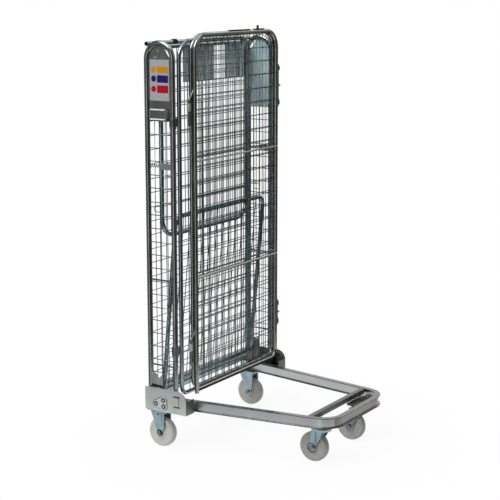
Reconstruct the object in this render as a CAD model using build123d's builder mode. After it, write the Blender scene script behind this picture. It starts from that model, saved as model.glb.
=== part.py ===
"""Folding roll container, folded for storage: a tapered base on four castors, two arched wings, a wire back,
a hanging lid, a folded-up deck, two folded side panels and a gate that lies over them."""

import os

from build123d import *

os.makedirs("parts", exist_ok=True)

# Millimetres, +Z up, front towards -Y, origin on the floor under the middle of the plan
depth = 808.0
wheel_d = 125.0
rear_wheel_inset = 53.0
rear_overhang = wheel_d / 2 - rear_wheel_inset
rear_y = (depth - rear_overhang) / 2
front_y = rear_y - depth

# Clearances
running = 0.06
seat_gap = 0.3
notch_gap = 1.5

# Tubes and wire
wing_tube = 22.0
panel_tube = 18.0
wing_r = wing_tube / 2
panel_r = panel_tube / 2
wire = 4.0
net_edge = 5.0

# Base rail, a section with two flanges and a web nearer its outer side
rail_bottom = 167.0
rail_height = 43.0
rail_flange = 24.0
rail_wall = 3.0
rail_recess = 10.0
rail_bend = 88.0
rail_front_half = 218.0
rail_rear_half = 337.0
rail_top = rail_bottom + rail_height
rail_mid = rail_bottom + rail_height / 2
rail_front_y = front_y + rail_flange / 2

# Front crossbar, and the rear cross member on top of the rails
crossbar_size = 22.0
crossbar_y = front_y + 115.0
cross_depth = 32.0
cross_height = 46.0
cross_wall = 3.0
cross_half = 356.0

# Corner brackets
bracket_half = 391.0
bracket_length = 207.0
bracket_top = 264.0
bracket_wall = 4.0
bracket_floor = 39.0
bracket_return = 57.0
bracket_return_top = 227.0
bracket_corner = 42.0
bracket_front_y = rear_y - bracket_length
spigot_length = 22.0
spigot_depth = 15.0
slot_length = 34.0
slot_width = 6.0
slot_y = bracket_front_y + 46.5
slot_levels = (197.0, 240.0)
strap_width = 18.0
strap_rise = 1.5
pad_thickness = 3.0
pad_front_y = rear_y - 103.0
pad_rear_y = pad_front_y + 52.0
pad_bottom = 169.0
pad_top = 230.0
pad_corner = 9.0
bolt_head_r = 4.0
bolt_head_height = 2.5

# Wings
wing_half = 369.0
wing_depth = 126.0
wing_rear_y = rear_y - 16.0
wing_front_y = wing_rear_y - wing_depth
wing_mid_y = (wing_rear_y + wing_front_y) / 2
arch_r = wing_depth / 2
arch_z = 1610.0
wing_seat_z = rail_bottom + bracket_wall
strap_z = 1185.0
strap_height = 26.0
strap_thickness = 3.0
guard_bottom = 268.0
guard_height = 56.0
wing_net_bottom = 272.0

# Sign plate with its crown and document pocket
plate_thickness = 2.0
plate_bottom = 1366.0
plate_top = 1612.0
crown_offset = 13.0
crown_cut_z = 1664.0
crown_ring_r = 17.0
crown_ring_z = 1627.0
pocket_depth = 12.0
pocket_height = 45.0
pocket_margin = 8.0
card_thickness = 0.8
card_bottom = 1455.0
card_margin = 5.0

# Top cross tube, back net and back plates
top_tube_half = 376.0
top_tube_wall = 2.0
back_net_bottom = 258.0
back_net_top = 1650.0
back_plate_bottom = 1502.0
back_plate_t = 1.5
back_plate_spans = ((-125.0, 100.0), (184.0, 350.0))

# Lid that hangs behind the deck
lid_half = 315.0
lid_y = rear_y - 44.0
lid_bottom = 885.0
lid_top = 1655.0
lid_bend = 75.0
lid_top_bend = 40.0
hook_half = 187.0
hook_width = 22.0
hook_wall = 4.0
hook_arm = 8.0

# Deck, folded up and leaning forward on the side panels
deck_low_x = -341.0
deck_high_x = 321.0
deck_y = rear_y - 131.0
deck_hinge_y = rear_y - 61.0
deck_bottom = 245.0
deck_top = 979.0
deck_bend = 45.0
deck_pin_r = 5.0
lug_thickness = 5.0
lug_half_width = 14.0
lug_gap = 1.0
deck_net_rise = 16.0

# Side panels and gate, folded across the front one behind the other
stack_pitch = 20.0
left_y = deck_y - stack_pitch
left_low_x = -339.0
left_high_x = 173.0
left_bottom = 239.0
left_top = 1680.0
right_y = left_y - stack_pitch
right_low_x = -285.0
right_high_x = 333.0
right_bottom = 258.0
right_top = 1700.0
gate_y = right_y - stack_pitch
gate_low_x = -288.0
gate_high_x = 327.0
gate_bottom = 252.0
gate_top = 1704.0
gate_tail = 15.0
panel_bend = 75.0
panel_foot_bend = 35.0
latch_low_x = 123.0
latch_high_x = 238.0
latch_bottom = 270.0
latch_mid = 315.0
latch_top = 358.0
latch_horn_x = 188.0
latch_horn_width = 39.0
latch_thickness = 3.0
latch_hole_r = 3.0
latch_hole_pitch = 24.0
stiffener_levels = (727.0, 1204.0)
stiffener_r = 4.0

# Panel hinges on the wing tubes
collar_levels = (430.0, 1363.0)
collar_height = 34.0
collar_wall = 4.0
collar_arm = 6.0
stop_height = 8.0
stop_wall = 3.0

# Gate hinges on the right side panel
hinge_x = -315.0
hinge_y = (right_y + gate_y) / 2
hinge_pin_r = 4.0
hinge_eye_wall = 4.0
hinge_eye_height = 30.0
hinge_levels = (437.0, 1420.0)
hinge_arm = 6.0
hinge_pin_drop = 75.0
hinge_pin_rise = 28.0
hinge_pin_slope = 50.0
hinge_pin_bend = 14.0

# Gate bolts on the right edge of the gate
bolt_r = 4.0
bolt_wall = 4.0
bolt_sleeve_height = 18.0
bolt_bite = 1.0
bolt_overhang = 17.0
bolt_handle = 16.0
bolt_collar = 2.5
bolt_collar_height = 5.0
bolt_spans = (("lower", 411.0, 495.0), ("upper", 1394.0, 1542.0))
bolt_x = gate_high_x + panel_r + bolt_r + bolt_wall - bolt_bite

# Top catch on the gate's top rail
catch_low_x = 150.0
catch_high_x = 221.0
catch_strip_low_x = -40.0
catch_strip_high_x = 111.0
catch_width = 14.0
catch_height = 3.0
catch_knob_x = 178.0
catch_knob_r = 5.0
catch_knob_height = 14.0

# Wheels and castors
wheel_width = 36.0
wheel_edge = 6.0
hub_width = 40.0
hub_r = 20.0
web_r = 50.0
web_recess = 6.0
axle_r = 6.0
axle_head_r = 10.0
axle_head = 7.0
axle_z = wheel_d / 2
rear_wheel_x = 340.0
rear_wheel_y = rear_y - rear_wheel_inset
front_wheel_x = 157.0
swivel_y = front_y + 91.0
trail = 38.0
fork_wall = 3.0
fork_gap = 2.0
rear_boss_r = 16.0
front_boss_r = 20.0
leg_inner = hub_width / 2 + fork_gap
rear_plate_t = 6.0
rear_plate_width = 90.0
rear_plate_front_y = rear_y - 101.0
rear_leg_front_y = rear_y - 78.0
rear_leg_rear_y = rear_y - 4.0
castor_plate_t = 5.0
castor_plate_low_x = 107.0
castor_plate_high_x = 209.0
castor_plate_rear_y = front_y + 128.0
head_plate_t = 5.0
head_plate_x = 96.0
head_plate_y = 72.0
head_r = 38.0
race_height = 10.0
seal_r = 36.0
seal_height = 5.0
crown_r = 36.0
crown_height = 10.0
king_pin_r = 6.0
king_nut_r = 11.0
king_nut_height = 6.0
front_leg_front_y = swivel_y - 28.0
front_leg_rear_y = swivel_y + 39.0
leg_waist = 0.6

SIDES = (("left", -1.0), ("right", 1.0))


def save(piece, name):
    """Labels a finished piece and writes its solid."""
    piece.part.label = name
    export_step(piece.part, f"parts/{name}.step")


def save_group(pieces, name):
    """Labels pieces that are joined for good and writes their solids side by side."""
    group = Compound([solid for piece in pieces for solid in piece.part.solids()])
    group.label = name
    export_step(group, f"parts/{name}.step")


def upright(y):
    """The upright plane across the container at one depth, with X to the right and Z up."""
    return Plane.XZ.offset(-y)


def along(x):
    """The upright plane along the container at one X, with Y to the right and Z up."""
    return Plane.YZ.offset(x)


def sweep_tube(run, radius):
    """Carries a round section along the line just drawn."""
    with BuildSketch(Plane(origin=run.line @ 0, z_dir=run.line % 0)) as section:
        Circle(radius)
    sweep(sections=section.sketch, path=run.line)


def bar_along_x(radius, x_from, x_to, y, z, mode=Mode.ADD):
    """A round bar across the container."""
    with BuildSketch(along(x_from)) as section:
        with Locations((y, z)):
            Circle(radius)
    extrude(section.sketch, amount=x_to - x_from, mode=mode)


def post(radius, x, y, z_from, z_to, mode=Mode.ADD):
    """A round upright bar."""
    with BuildSketch(Plane.XY.offset(z_from)) as section:
        with Locations((x, y)):
            Circle(radius)
    extrude(section.sketch, amount=z_to - z_from, mode=mode)


def block(x_from, x_to, y_from, y_to, z_from, z_to, mode=Mode.ADD):
    """A rectangular block between its limits, which may be given in either order."""
    with Locations(((x_from + x_to) / 2, (y_from + y_to) / 2, (z_from + z_to) / 2)):
        Box(abs(x_to - x_from), abs(y_to - y_from), abs(z_to - z_from), mode=mode)


def outline(low, high, z_low, z_high, foot, top, inset=0.0, mode=Mode.ADD):
    """A face with rounded corners, drawn in from its limits by an inset."""
    corners = (max(foot - inset, 1.0), max(foot - inset, 1.0), max(top - inset, 1.0), max(top - inset, 1.0))
    with BuildLine() as edge:
        FilletPolyline(
            (low + inset, z_low + inset),
            (high - inset, z_low + inset),
            (high - inset, z_high - inset),
            (low + inset, z_high - inset),
            radius=corners,
            close=True,
        )
    make_face(edge.edges(), mode=mode)


def closed_frame(y, low, high, z_low, z_high, foot, top):
    """A closed frame of bent panel tube in an upright plane."""
    with BuildPart() as frame:
        with BuildLine(upright(y)) as run:
            FilletPolyline(
                (low, z_low),
                (high, z_low),
                (high, z_high),
                (low, z_high),
                radius=(foot, foot, top, top),
                close=True,
            )
        sweep_tube(run, panel_r)
    return frame


def net(plane, low, high, z_low, z_high, foot, top, columns, rows):
    """Welded wire net as one flat holed sheet, its rim on the given limits."""
    with BuildSketch() as gaps:
        outline(low, high, z_low, z_high, foot, top, net_edge)
        with Locations(((low + high) / 2, (z_low + z_high) / 2)):
            with GridLocations((high - low) / columns, 0, columns - 1, 1):
                Rectangle(wire, z_high - z_low, mode=Mode.SUBTRACT)
            with GridLocations(0, (z_high - z_low) / rows, 1, rows - 1):
                Rectangle(high - low, wire, mode=Mode.SUBTRACT)
    with BuildPart() as sheet:
        with BuildSketch(plane):
            outline(low, high, z_low, z_high, foot, top)
            add(gaps.sketch, mode=Mode.SUBTRACT)
        extrude(amount=wire / 2, both=True)
    return sheet


def panel_net(y, low, high, z_low, z_high, foot, top, columns, rows):
    """The net of a tube frame, its rim against the inside of the tube."""
    return net(
        upright(y),
        low + panel_r,
        high - panel_r,
        z_low + panel_r,
        z_high - panel_r,
        foot - panel_r,
        top - panel_r,
        columns,
        rows,
    )


def rail_line():
    """The middle line of the base rail in plan."""
    return FilletPolyline(
        (-rail_rear_half, rear_y),
        (-rail_front_half, rail_front_y),
        (rail_front_half, rail_front_y),
        (rail_rear_half, rear_y),
        radius=rail_bend,
    )


def inside_rail(mode=Mode.INTERSECT):
    """The plan of the space inside the base rail."""
    with BuildSketch(mode=Mode.PRIVATE) as space:
        with BuildLine():
            run = rail_line()
            Line(run @ 1, run @ 0)
        make_face()
        offset(amount=-rail_flange / 2, mode=Mode.REPLACE)
    add(space.sketch, mode=mode)


def wheel(x, y):
    """A moulded wheel with a crowned tread, recessed sides and a plain bore."""
    face = Plane(origin=(x, y, axle_z), x_dir=(1, 0, 0), z_dir=(0, -1, 0))
    half = wheel_width / 2
    with BuildPart() as piece:
        with BuildSketch(face):
            with Locations((0, axle_z / 2)):
                tread = Rectangle(wheel_width, axle_z)
            fillet(tread.vertices().group_by(Axis.Z)[-1], wheel_edge)
            for side in (-1, 1):
                with Locations((side * half, (web_r + hub_r) / 2)):
                    Rectangle(2 * web_recess, web_r - hub_r, mode=Mode.SUBTRACT)
                with Locations((side * (half + hub_width / 2) / 2, hub_r / 2)):
                    Rectangle((hub_width - wheel_width) / 2, hub_r)
            with Locations((0, (axle_r + running) / 2)):
                Rectangle(hub_width, axle_r + running, mode=Mode.SUBTRACT)
        revolve(axis=Axis((x, y, axle_z), (1, 0, 0)))
    return piece


def axle(x, y):
    """A shouldered axle bolt with a head against the outside of each fork leg."""
    reach = leg_inner + fork_wall
    with BuildPart() as piece:
        bar_along_x(axle_r, x - reach, x + reach, y, axle_z)
        bar_along_x(axle_head_r, x - reach - axle_head, x - reach, y, axle_z)
        bar_along_x(axle_head_r, x + reach, x + reach + axle_head, y, axle_z)
    return piece


def fork_legs(x, axle_y, top_z, top_front_y, top_rear_y, boss_r):
    """The two legs of a fork, each bored for the axle."""
    for start in (x - leg_inner - fork_wall, x + leg_inner):
        with BuildSketch(along(start)) as leg:
            with BuildLine():
                Polyline(
                    (top_front_y, top_z),
                    (top_rear_y, top_z),
                    (axle_y + leg_waist * boss_r, axle_z),
                    (axle_y - leg_waist * boss_r, axle_z),
                    close=True,
                )
            make_face()
            with Locations((axle_y, axle_z)):
                Circle(boss_r)
                Circle(axle_r, mode=Mode.SUBTRACT)
        extrude(leg.sketch, amount=fork_wall)


def hinge_leaf(plan, level, height, barrel_r, barrel_wall, target, arm):
    """A barrel round an upright pin, with an arm to a panel tube."""
    reach = Vector(*target) - Vector(*plan)
    foot = Plane(origin=(plan[0], plan[1], level - height / 2), x_dir=(reach.X, reach.Y, 0))
    with BuildSketch(foot) as leaf:
        with Locations((reach.length / 2, 0)):
            Rectangle(reach.length, arm)
        Circle(barrel_r + barrel_wall)
        Circle(barrel_r, mode=Mode.SUBTRACT)
    extrude(leaf.sketch, amount=height)


# Base rail: one bent length of flanged section, narrower in front, that nests into the next container
with BuildPart() as base_rail:
    with BuildLine(Plane.XY.offset(rail_mid)) as rail_run:
        rail_line()
    with BuildSketch(Plane(origin=rail_run.line @ 0, x_dir=(0, 0, 1), z_dir=rail_run.line % 0)):
        Rectangle(rail_height, rail_flange)
        with Locations((0, rail_flange - rail_recess), (0, -rail_recess - rail_wall)):
            Rectangle(rail_height - 2 * rail_wall, rail_flange, mode=Mode.SUBTRACT)
    sweep()
    for end in (-1, 1):
        block(
            end * (rail_rear_half - rail_flange),
            end * (rail_rear_half + rail_flange),
            rear_y - bracket_wall,
            rear_y + rail_flange,
            rail_bottom - rail_wall,
            rail_top + rail_wall,
            mode=Mode.SUBTRACT,
        )
save(base_rail, "base_rail")

# Front crossbar between the two sides of the rail
with BuildPart() as front_crossbar:
    with BuildSketch(Plane.XY.offset(rail_top - crossbar_size)):
        with Locations((0, crossbar_y)):
            Rectangle(depth, crossbar_size)
        inside_rail()
    extrude(amount=crossbar_size)
save(front_crossbar, "front_crossbar")

# Rear cross member: a box section on the tops of the rails
with BuildPart() as rear_cross_member:
    with BuildSketch(along(-cross_half)):
        with Locations((rear_y - cross_depth / 2, rail_top + cross_height / 2)):
            Rectangle(cross_depth, cross_height)
            Rectangle(cross_depth - 2 * cross_wall, cross_height - 2 * cross_wall, mode=Mode.SUBTRACT)
    extrude(amount=2 * cross_half)
save(rear_cross_member, "rear_cross_member")

# Castor plates inside the front corners of the rail
for side, sign in SIDES:
    with BuildPart() as castor_plate:
        with BuildSketch(Plane.XY.offset(rail_bottom)):
            with Locations(
                (
                    sign * (castor_plate_low_x + castor_plate_high_x) / 2,
                    (front_y + castor_plate_rear_y) / 2,
                )
            ):
                Rectangle(castor_plate_high_x - castor_plate_low_x, castor_plate_rear_y - front_y)
            inside_rail()
        extrude(amount=castor_plate_t)
    save(castor_plate, f"castor_plate_{side}")

pad_mid = (pad_bottom + pad_top) / 2
# Corner brackets: a slotted outer plate, a floor under the wing tubes and a spigot in the rail
for side, sign in SIDES:
    outer = sign * bracket_half
    inner = sign * (bracket_half - bracket_wall)
    with BuildPart() as corner_bracket:
        with BuildSketch(along(min(outer, inner))):
            with BuildLine():
                FilletPolyline(
                    (bracket_front_y, rail_bottom),
                    (rear_y, rail_bottom),
                    (rear_y, bracket_top),
                    (bracket_front_y, bracket_top),
                    radius=(0, 0, 6, bracket_corner),
                    close=True,
                )
            make_face()
            for level in slot_levels:
                with Locations((slot_y, level)):
                    SlotOverall(slot_length, slot_width, mode=Mode.SUBTRACT)
        extrude(amount=bracket_wall)
        block(
            inner,
            outer + sign * strap_rise,
            slot_y - strap_width / 2,
            slot_y + strap_width / 2,
            slot_levels[0] + slot_width / 2,
            slot_levels[1] - slot_width / 2,
        )
        block(
            outer,
            sign * (bracket_half - bracket_floor),
            bracket_front_y,
            rear_y,
            rail_bottom,
            rail_bottom + bracket_wall,
        )
        return_x = sign * (bracket_half - bracket_return)
        block(
            inner,
            return_x,
            bracket_front_y,
            bracket_front_y + bracket_wall,
            rail_bottom,
            bracket_return_top,
        )
        block(
            return_x,
            return_x - sign * spigot_length,
            bracket_front_y,
            bracket_front_y + spigot_depth,
            rail_bottom + rail_wall,
            rail_top - rail_wall,
        )
        block(
            return_x + sign * bracket_wall,
            return_x,
            bracket_front_y,
            bracket_front_y + spigot_depth,
            rail_bottom + rail_wall,
            rail_top - rail_wall,
        )
    save(corner_bracket, f"corner_bracket_{side}")

    # Rounded triangular pad on the outside of the bracket
    with BuildPart() as bracket_pad:
        with BuildSketch(along(min(outer, outer + sign * pad_thickness))):
            with BuildLine():
                FilletPolyline(
                    (pad_front_y, pad_bottom),
                    (pad_rear_y, pad_mid),
                    (pad_front_y, pad_top),
                    radius=pad_corner,
                    close=True,
                )
            make_face()
        extrude(amount=pad_thickness)
    save(bracket_pad, f"bracket_pad_{side}")

# Bracket bolts: three button heads on each pad
with BuildPart() as bracket_bolts:
    for side, sign in SIDES:
        start = sign * (bracket_half + pad_thickness)
        with BuildSketch(along(min(start, start + sign * bolt_head_height))):
            with Locations(
                (pad_rear_y - 2.0 * pad_corner, pad_mid),
                (pad_front_y + 1.1 * pad_corner, pad_bottom + 1.8 * pad_corner),
                (pad_front_y + 1.1 * pad_corner, pad_top - 1.8 * pad_corner),
            ):
                Circle(bolt_head_r)
        extrude(amount=bolt_head_height)
save(bracket_bolts, "bracket_bolts")

# Rear castors: fixed forks under the brackets and rails
for side, sign in SIDES:
    wheel_x = sign * rear_wheel_x
    with BuildPart() as rear_fork:
        block(
            wheel_x - rear_plate_width / 2,
            wheel_x + rear_plate_width / 2,
            rear_plate_front_y,
            rear_leg_rear_y,
            rail_bottom - rear_plate_t,
            rail_bottom,
        )
        fork_legs(
            wheel_x, rear_wheel_y, rail_bottom - rear_plate_t, rear_leg_front_y, rear_leg_rear_y, rear_boss_r
        )
    save(rear_fork, f"rear_fork_{side}")
    save(axle(wheel_x, rear_wheel_y), f"rear_axle_{side}")
    save(wheel(wheel_x, rear_wheel_y), f"rear_wheel_{side}")

# Front castors: a fixed head with its king pin and seal, and a fork that swivels under it
race_top = rail_bottom - head_plate_t
seal_top = race_top - race_height
crown_top = seal_top - seal_height - seat_gap
crown_low = crown_top - crown_height
for side, sign in SIDES:
    wheel_x = sign * front_wheel_x
    wheel_y = swivel_y + trail
    with BuildPart() as castor_head:
        block(
            wheel_x - head_plate_x / 2,
            wheel_x + head_plate_x / 2,
            swivel_y - head_plate_y / 2,
            swivel_y + head_plate_y / 2,
            race_top,
            rail_bottom,
        )
        post(head_r, wheel_x, swivel_y, seal_top, race_top)
        post(king_pin_r, wheel_x, swivel_y, crown_low - seat_gap, seal_top)
        post(king_nut_r, wheel_x, swivel_y, crown_low - seat_gap - king_nut_height, crown_low - seat_gap)
    save(castor_head, f"castor_head_{side}")

    with BuildPart() as castor_seal:
        post(seal_r, wheel_x, swivel_y, seal_top - seal_height, seal_top)
        post(king_pin_r, wheel_x, swivel_y, seal_top - seal_height, seal_top, mode=Mode.SUBTRACT)
    save(castor_seal, f"castor_seal_{side}")

    with BuildPart() as front_fork:
        post(crown_r, wheel_x, swivel_y, crown_low, crown_top)
        fork_legs(wheel_x, wheel_y, crown_top, front_leg_front_y, front_leg_rear_y, front_boss_r)
        post(king_pin_r + running, wheel_x, swivel_y, crown_low, crown_top, mode=Mode.SUBTRACT)
    save(front_fork, f"front_fork_{side}")
    save(axle(wheel_x, wheel_y), f"front_axle_{side}")
    save(wheel(wheel_x, wheel_y), f"front_wheel_{side}")

# Wings: an arched tube each side, drawn as two legs and a bow, with stop rings under the panel
# hinges and flat stiffeners welded on outside
net_front_y = wing_front_y + wing_r
net_rear_y = wing_rear_y - wing_r
notch_r = wing_r + collar_wall + notch_gap
for side, sign in SIDES:
    wing_x = sign * wing_half
    skin_x = sign * (wing_half + wire / 2)
    with BuildPart() as front_leg:
        post(wing_r, wing_x, wing_front_y, wing_seat_z, arch_z)
        for level in collar_levels:
            stop_top = level - collar_height / 2 - seat_gap
            post(wing_r + stop_wall, wing_x, wing_front_y, stop_top - stop_height, stop_top)
    with BuildPart() as rear_leg:
        post(wing_r, wing_x, wing_rear_y, wing_seat_z, arch_z)
    with BuildPart() as bow:
        with BuildLine(along(wing_x)) as run:
            ThreePointArc((wing_rear_y, arch_z), (wing_mid_y, arch_z + arch_r), (wing_front_y, arch_z))
        sweep_tube(run, wing_r)
    with BuildPart() as strap:
        block(
            skin_x,
            skin_x + sign * strap_thickness,
            wing_front_y,
            wing_mid_y,
            strap_z - strap_height / 2,
            strap_z + strap_height / 2,
        )
        post(wing_r, wing_x, wing_front_y, wing_seat_z, arch_z, mode=Mode.SUBTRACT)
    with BuildPart() as guard:
        with BuildSketch(along(min(skin_x, skin_x + sign * strap_thickness))):
            with BuildLine():
                Polyline(
                    (wing_mid_y, guard_bottom),
                    (wing_rear_y, guard_bottom),
                    (wing_rear_y, guard_bottom + guard_height),
                    (wing_mid_y + 0.6 * arch_r, guard_bottom + guard_height),
                    (wing_mid_y + 0.3 * arch_r, guard_bottom + 0.6 * guard_height),
                    (wing_mid_y, guard_bottom + guard_height),
                    close=True,
                )
            make_face()
        extrude(amount=strap_thickness)
        post(wing_r, wing_x, wing_rear_y, wing_seat_z, arch_z, mode=Mode.SUBTRACT)
    save_group((front_leg, rear_leg, bow, strap, guard), f"wing_frame_{side}")

    wing_sheet = net(
        along(wing_x), net_front_y, net_rear_y, wing_net_bottom, plate_bottom, 1.0, 1.0, columns=3, rows=20
    )
    with BuildPart() as wing_net:
        add(wing_sheet.part)
        for level in collar_levels:
            post(
                notch_r,
                wing_x,
                wing_front_y,
                level - collar_height / 2 - stop_height - notch_gap,
                level + collar_height / 2 + notch_gap,
                mode=Mode.SUBTRACT,
            )
    save(wing_net, f"wing_net_{side}")

    # Sign plate: label area and crown in one sheet, with a folded pocket strip and its two end
    # tabs welded along the foot; the right one is the same plate turned round, so its crown is
    # cut away at the rear
    cut_edge_y = wing_mid_y + sign * (net_rear_y - wing_mid_y)
    with BuildPart() as sign_plate:
        with BuildSketch(along(wing_x)):
            with Locations((wing_mid_y, arch_z)):
                Circle(arch_r - wing_r)
            with BuildLine():
                Polyline(
                    (wing_mid_y + sign * crown_offset, crown_cut_z),
                    (cut_edge_y, plate_top),
                    (cut_edge_y + sign * wing_r, plate_top),
                    (cut_edge_y + sign * wing_r, crown_cut_z),
                    close=True,
                )
            make_face(mode=Mode.SUBTRACT)
            with Locations((wing_mid_y, (plate_bottom + arch_z) / 2)):
                Rectangle(net_rear_y - net_front_y, arch_z - plate_bottom)
        extrude(amount=plate_thickness / 2, both=True)
        face_x = sign * (wing_half + plate_thickness / 2)
        with BuildSketch(along(min(face_x, face_x + sign * plate_thickness))):
            with Locations((wing_mid_y - sign * crown_offset, crown_ring_z)):
                Circle(crown_ring_r)
                Circle(0.7 * crown_ring_r, mode=Mode.SUBTRACT)
        extrude(amount=plate_thickness)
        for level in collar_levels:
            post(
                notch_r,
                wing_x,
                wing_front_y,
                level - collar_height / 2 - stop_height - notch_gap,
                level + collar_height / 2 + notch_gap,
                mode=Mode.SUBTRACT,
            )
    pocket_x = face_x + sign * (pocket_depth + plate_thickness)
    pocket_front = net_front_y + pocket_margin
    pocket_rear = net_rear_y - pocket_margin
    pocket_top = plate_bottom + pocket_height
    with BuildPart() as pocket_strip:
        block(face_x, pocket_x, pocket_front, pocket_rear, plate_bottom, plate_bottom + plate_thickness)
        block(
            pocket_x - sign * plate_thickness, pocket_x, pocket_front, pocket_rear, plate_bottom, pocket_top
        )
    with BuildPart() as pocket_ends:
        for end_y in (pocket_front, pocket_rear - plate_thickness):
            block(
                face_x,
                pocket_x - sign * plate_thickness,
                end_y,
                end_y + plate_thickness,
                plate_bottom + plate_thickness,
                pocket_top,
            )
    save_group((sign_plate, pocket_strip, pocket_ends), f"sign_plate_{side}")

    # Plain card on the label area
    with BuildPart() as label_card:
        block(
            face_x,
            face_x + sign * card_thickness,
            net_front_y + card_margin,
            net_rear_y - card_margin,
            card_bottom,
            crown_ring_z - crown_ring_r - notch_gap,
        )
    save(label_card, f"label_card_{side}")

# Top cross tube on the rear shoulders of the two arches
shoulder = (arch_r + wing_r + panel_r + seat_gap) / 2**0.5
top_tube_y = wing_mid_y + shoulder
top_tube_z = arch_z + shoulder
with BuildPart() as top_cross_tube:
    bar_along_x(panel_r, -top_tube_half, top_tube_half, top_tube_y, top_tube_z)
    bar_along_x(
        panel_r - top_tube_wall, -top_tube_half, top_tube_half, top_tube_y, top_tube_z, mode=Mode.SUBTRACT
    )
save(top_cross_tube, "top_cross_tube")

# Back net between the rear tubes, and two sheet plates on its inner face
back_half = wing_half - wing_r
back_net = net(
    upright(wing_rear_y), -back_half, back_half, back_net_bottom, back_net_top, 1.0, 1.0, columns=14, rows=24
)
save(back_net, "back_net")

with BuildPart() as back_plates:
    for span_low, span_high in back_plate_spans:
        block(
            span_low,
            span_high,
            wing_rear_y - wire / 2 - back_plate_t,
            wing_rear_y - wire / 2,
            back_plate_bottom,
            back_net_top,
        )
save(back_plates, "back_plates")

# Lid: a bent frame with a net, hung by two hooks on the cross tube
lid_frame = closed_frame(lid_y, -lid_half, lid_half, lid_bottom, lid_top, lid_bend, lid_top_bend)
save(lid_frame, "lid_frame")

lid_net = panel_net(
    lid_y, -lid_half, lid_half, lid_bottom, lid_top, lid_bend, lid_top_bend, columns=12, rows=13
)
save(lid_net, "lid_net")

with BuildPart() as lid_hooks:
    reach = Vector(lid_y, lid_top) - Vector(top_tube_y, top_tube_z)
    for hook_x in (-hook_half, hook_half):
        hook_plane = Plane(
            origin=(hook_x, top_tube_y, top_tube_z), x_dir=(0, reach.X, reach.Y), z_dir=(1, 0, 0)
        )
        with BuildSketch(hook_plane):
            with Locations((reach.length / 2, 0)):
                Rectangle(reach.length, hook_arm)
            Circle(panel_r + running + hook_wall)
            Circle(panel_r + running, mode=Mode.SUBTRACT)
        extrude(amount=hook_width / 2, both=True)
save(lid_hooks, "lid_hooks")

# Deck, folded up: a bent hoop on a straight foot rail whose ends are the hinge pins
lug_high_x = wing_half - wing_r - lug_gap
deck_rise = deck_top - deck_bottom
deck_lean = deck_hinge_y - deck_y
deck_run = (deck_rise**2 + deck_lean**2) ** 0.5
deck_plane = Plane(
    origin=(0, deck_hinge_y, deck_bottom), x_dir=(1, 0, 0), z_dir=(0, -deck_rise, -deck_lean)
)
with BuildPart() as deck_frame:
    with BuildLine(deck_plane) as run:
        FilletPolyline(
            (deck_low_x, 0),
            (deck_low_x, deck_run),
            (deck_high_x, deck_run),
            (deck_high_x, 0),
            radius=deck_bend,
        )
    sweep_tube(run, panel_r)
    bar_along_x(panel_r, deck_low_x - panel_r, deck_high_x + panel_r, deck_hinge_y, deck_bottom)
    bar_along_x(deck_pin_r, -lug_high_x, lug_high_x, deck_hinge_y, deck_bottom)
save(deck_frame, "deck_frame")

deck_net = net(
    deck_plane,
    deck_low_x + panel_r,
    deck_high_x - panel_r,
    deck_net_rise,
    deck_run - panel_r,
    1.0,
    deck_bend - panel_r,
    columns=13,
    rows=12,
)
save(deck_net, "deck_net")

with BuildPart() as deck_lugs:
    for side, sign in SIDES:
        start = sign * lug_high_x
        with BuildSketch(along(min(start, start - sign * lug_thickness))):
            with BuildLine():
                FilletPolyline(
                    (deck_hinge_y - lug_half_width, wing_seat_z),
                    (deck_hinge_y + lug_half_width, wing_seat_z),
                    (deck_hinge_y + lug_half_width, deck_bottom + lug_half_width),
                    (deck_hinge_y - lug_half_width, deck_bottom + lug_half_width),
                    radius=(0, 0, 0.8 * lug_half_width, 0.8 * lug_half_width),
                    close=True,
                )
            make_face()
            with Locations((deck_hinge_y, deck_bottom)):
                Circle(deck_pin_r + running, mode=Mode.SUBTRACT)
        extrude(amount=lug_thickness)
save(deck_lugs, "deck_lugs")

# Left side panel: frame, net and two collars on the left wing's front tube
left_frame = closed_frame(
    left_y, left_low_x, left_high_x, left_bottom, left_top, panel_foot_bend, panel_bend
)
save(left_frame, "left_side_frame")

left_net = panel_net(
    left_y, left_low_x, left_high_x, left_bottom, left_top, panel_foot_bend, panel_bend, columns=10, rows=25
)
save(left_net, "left_side_net")

with BuildPart() as left_hinges:
    for level in collar_levels:
        hinge_leaf(
            (-wing_half, wing_front_y),
            level,
            collar_height,
            wing_r + running,
            collar_wall,
            (left_low_x, left_y),
            collar_arm,
        )
save(left_hinges, "left_side_hinges")

# Right side panel: frame, net, two collars on the right wing's front tube, and eyes for the gate
right_frame = closed_frame(
    right_y, right_low_x, right_high_x, right_bottom, right_top, panel_foot_bend, panel_bend
)
save(right_frame, "right_side_frame")

right_net = panel_net(
    right_y,
    right_low_x,
    right_high_x,
    right_bottom,
    right_top,
    panel_foot_bend,
    panel_bend,
    columns=12,
    rows=25,
)
save(right_net, "right_side_net")

# Deck latch: a perforated plate with a horn, on the back of the right panel's net
with BuildPart() as deck_latch:
    with BuildSketch(upright(right_y + wire / 2 + latch_thickness)):
        with BuildLine():
            Polyline(
                (latch_low_x, latch_bottom),
                (latch_high_x, latch_bottom),
                (latch_high_x, latch_mid),
                (latch_horn_x + latch_horn_width, latch_mid),
                (latch_horn_x + latch_horn_width, 0.4 * latch_mid + 0.6 * latch_top),
                (latch_horn_x + 0.4 * latch_horn_width, latch_top),
                (latch_horn_x, latch_mid),
                (latch_low_x, latch_mid),
                close=True,
            )
        make_face()
        with Locations(((latch_low_x + latch_high_x) / 2, (latch_bottom + latch_mid) / 2)):
            with GridLocations(latch_hole_pitch, 0, 4, 1):
                Circle(latch_hole_r, mode=Mode.SUBTRACT)
    extrude(amount=latch_thickness)
save(deck_latch, "deck_latch")

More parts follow.
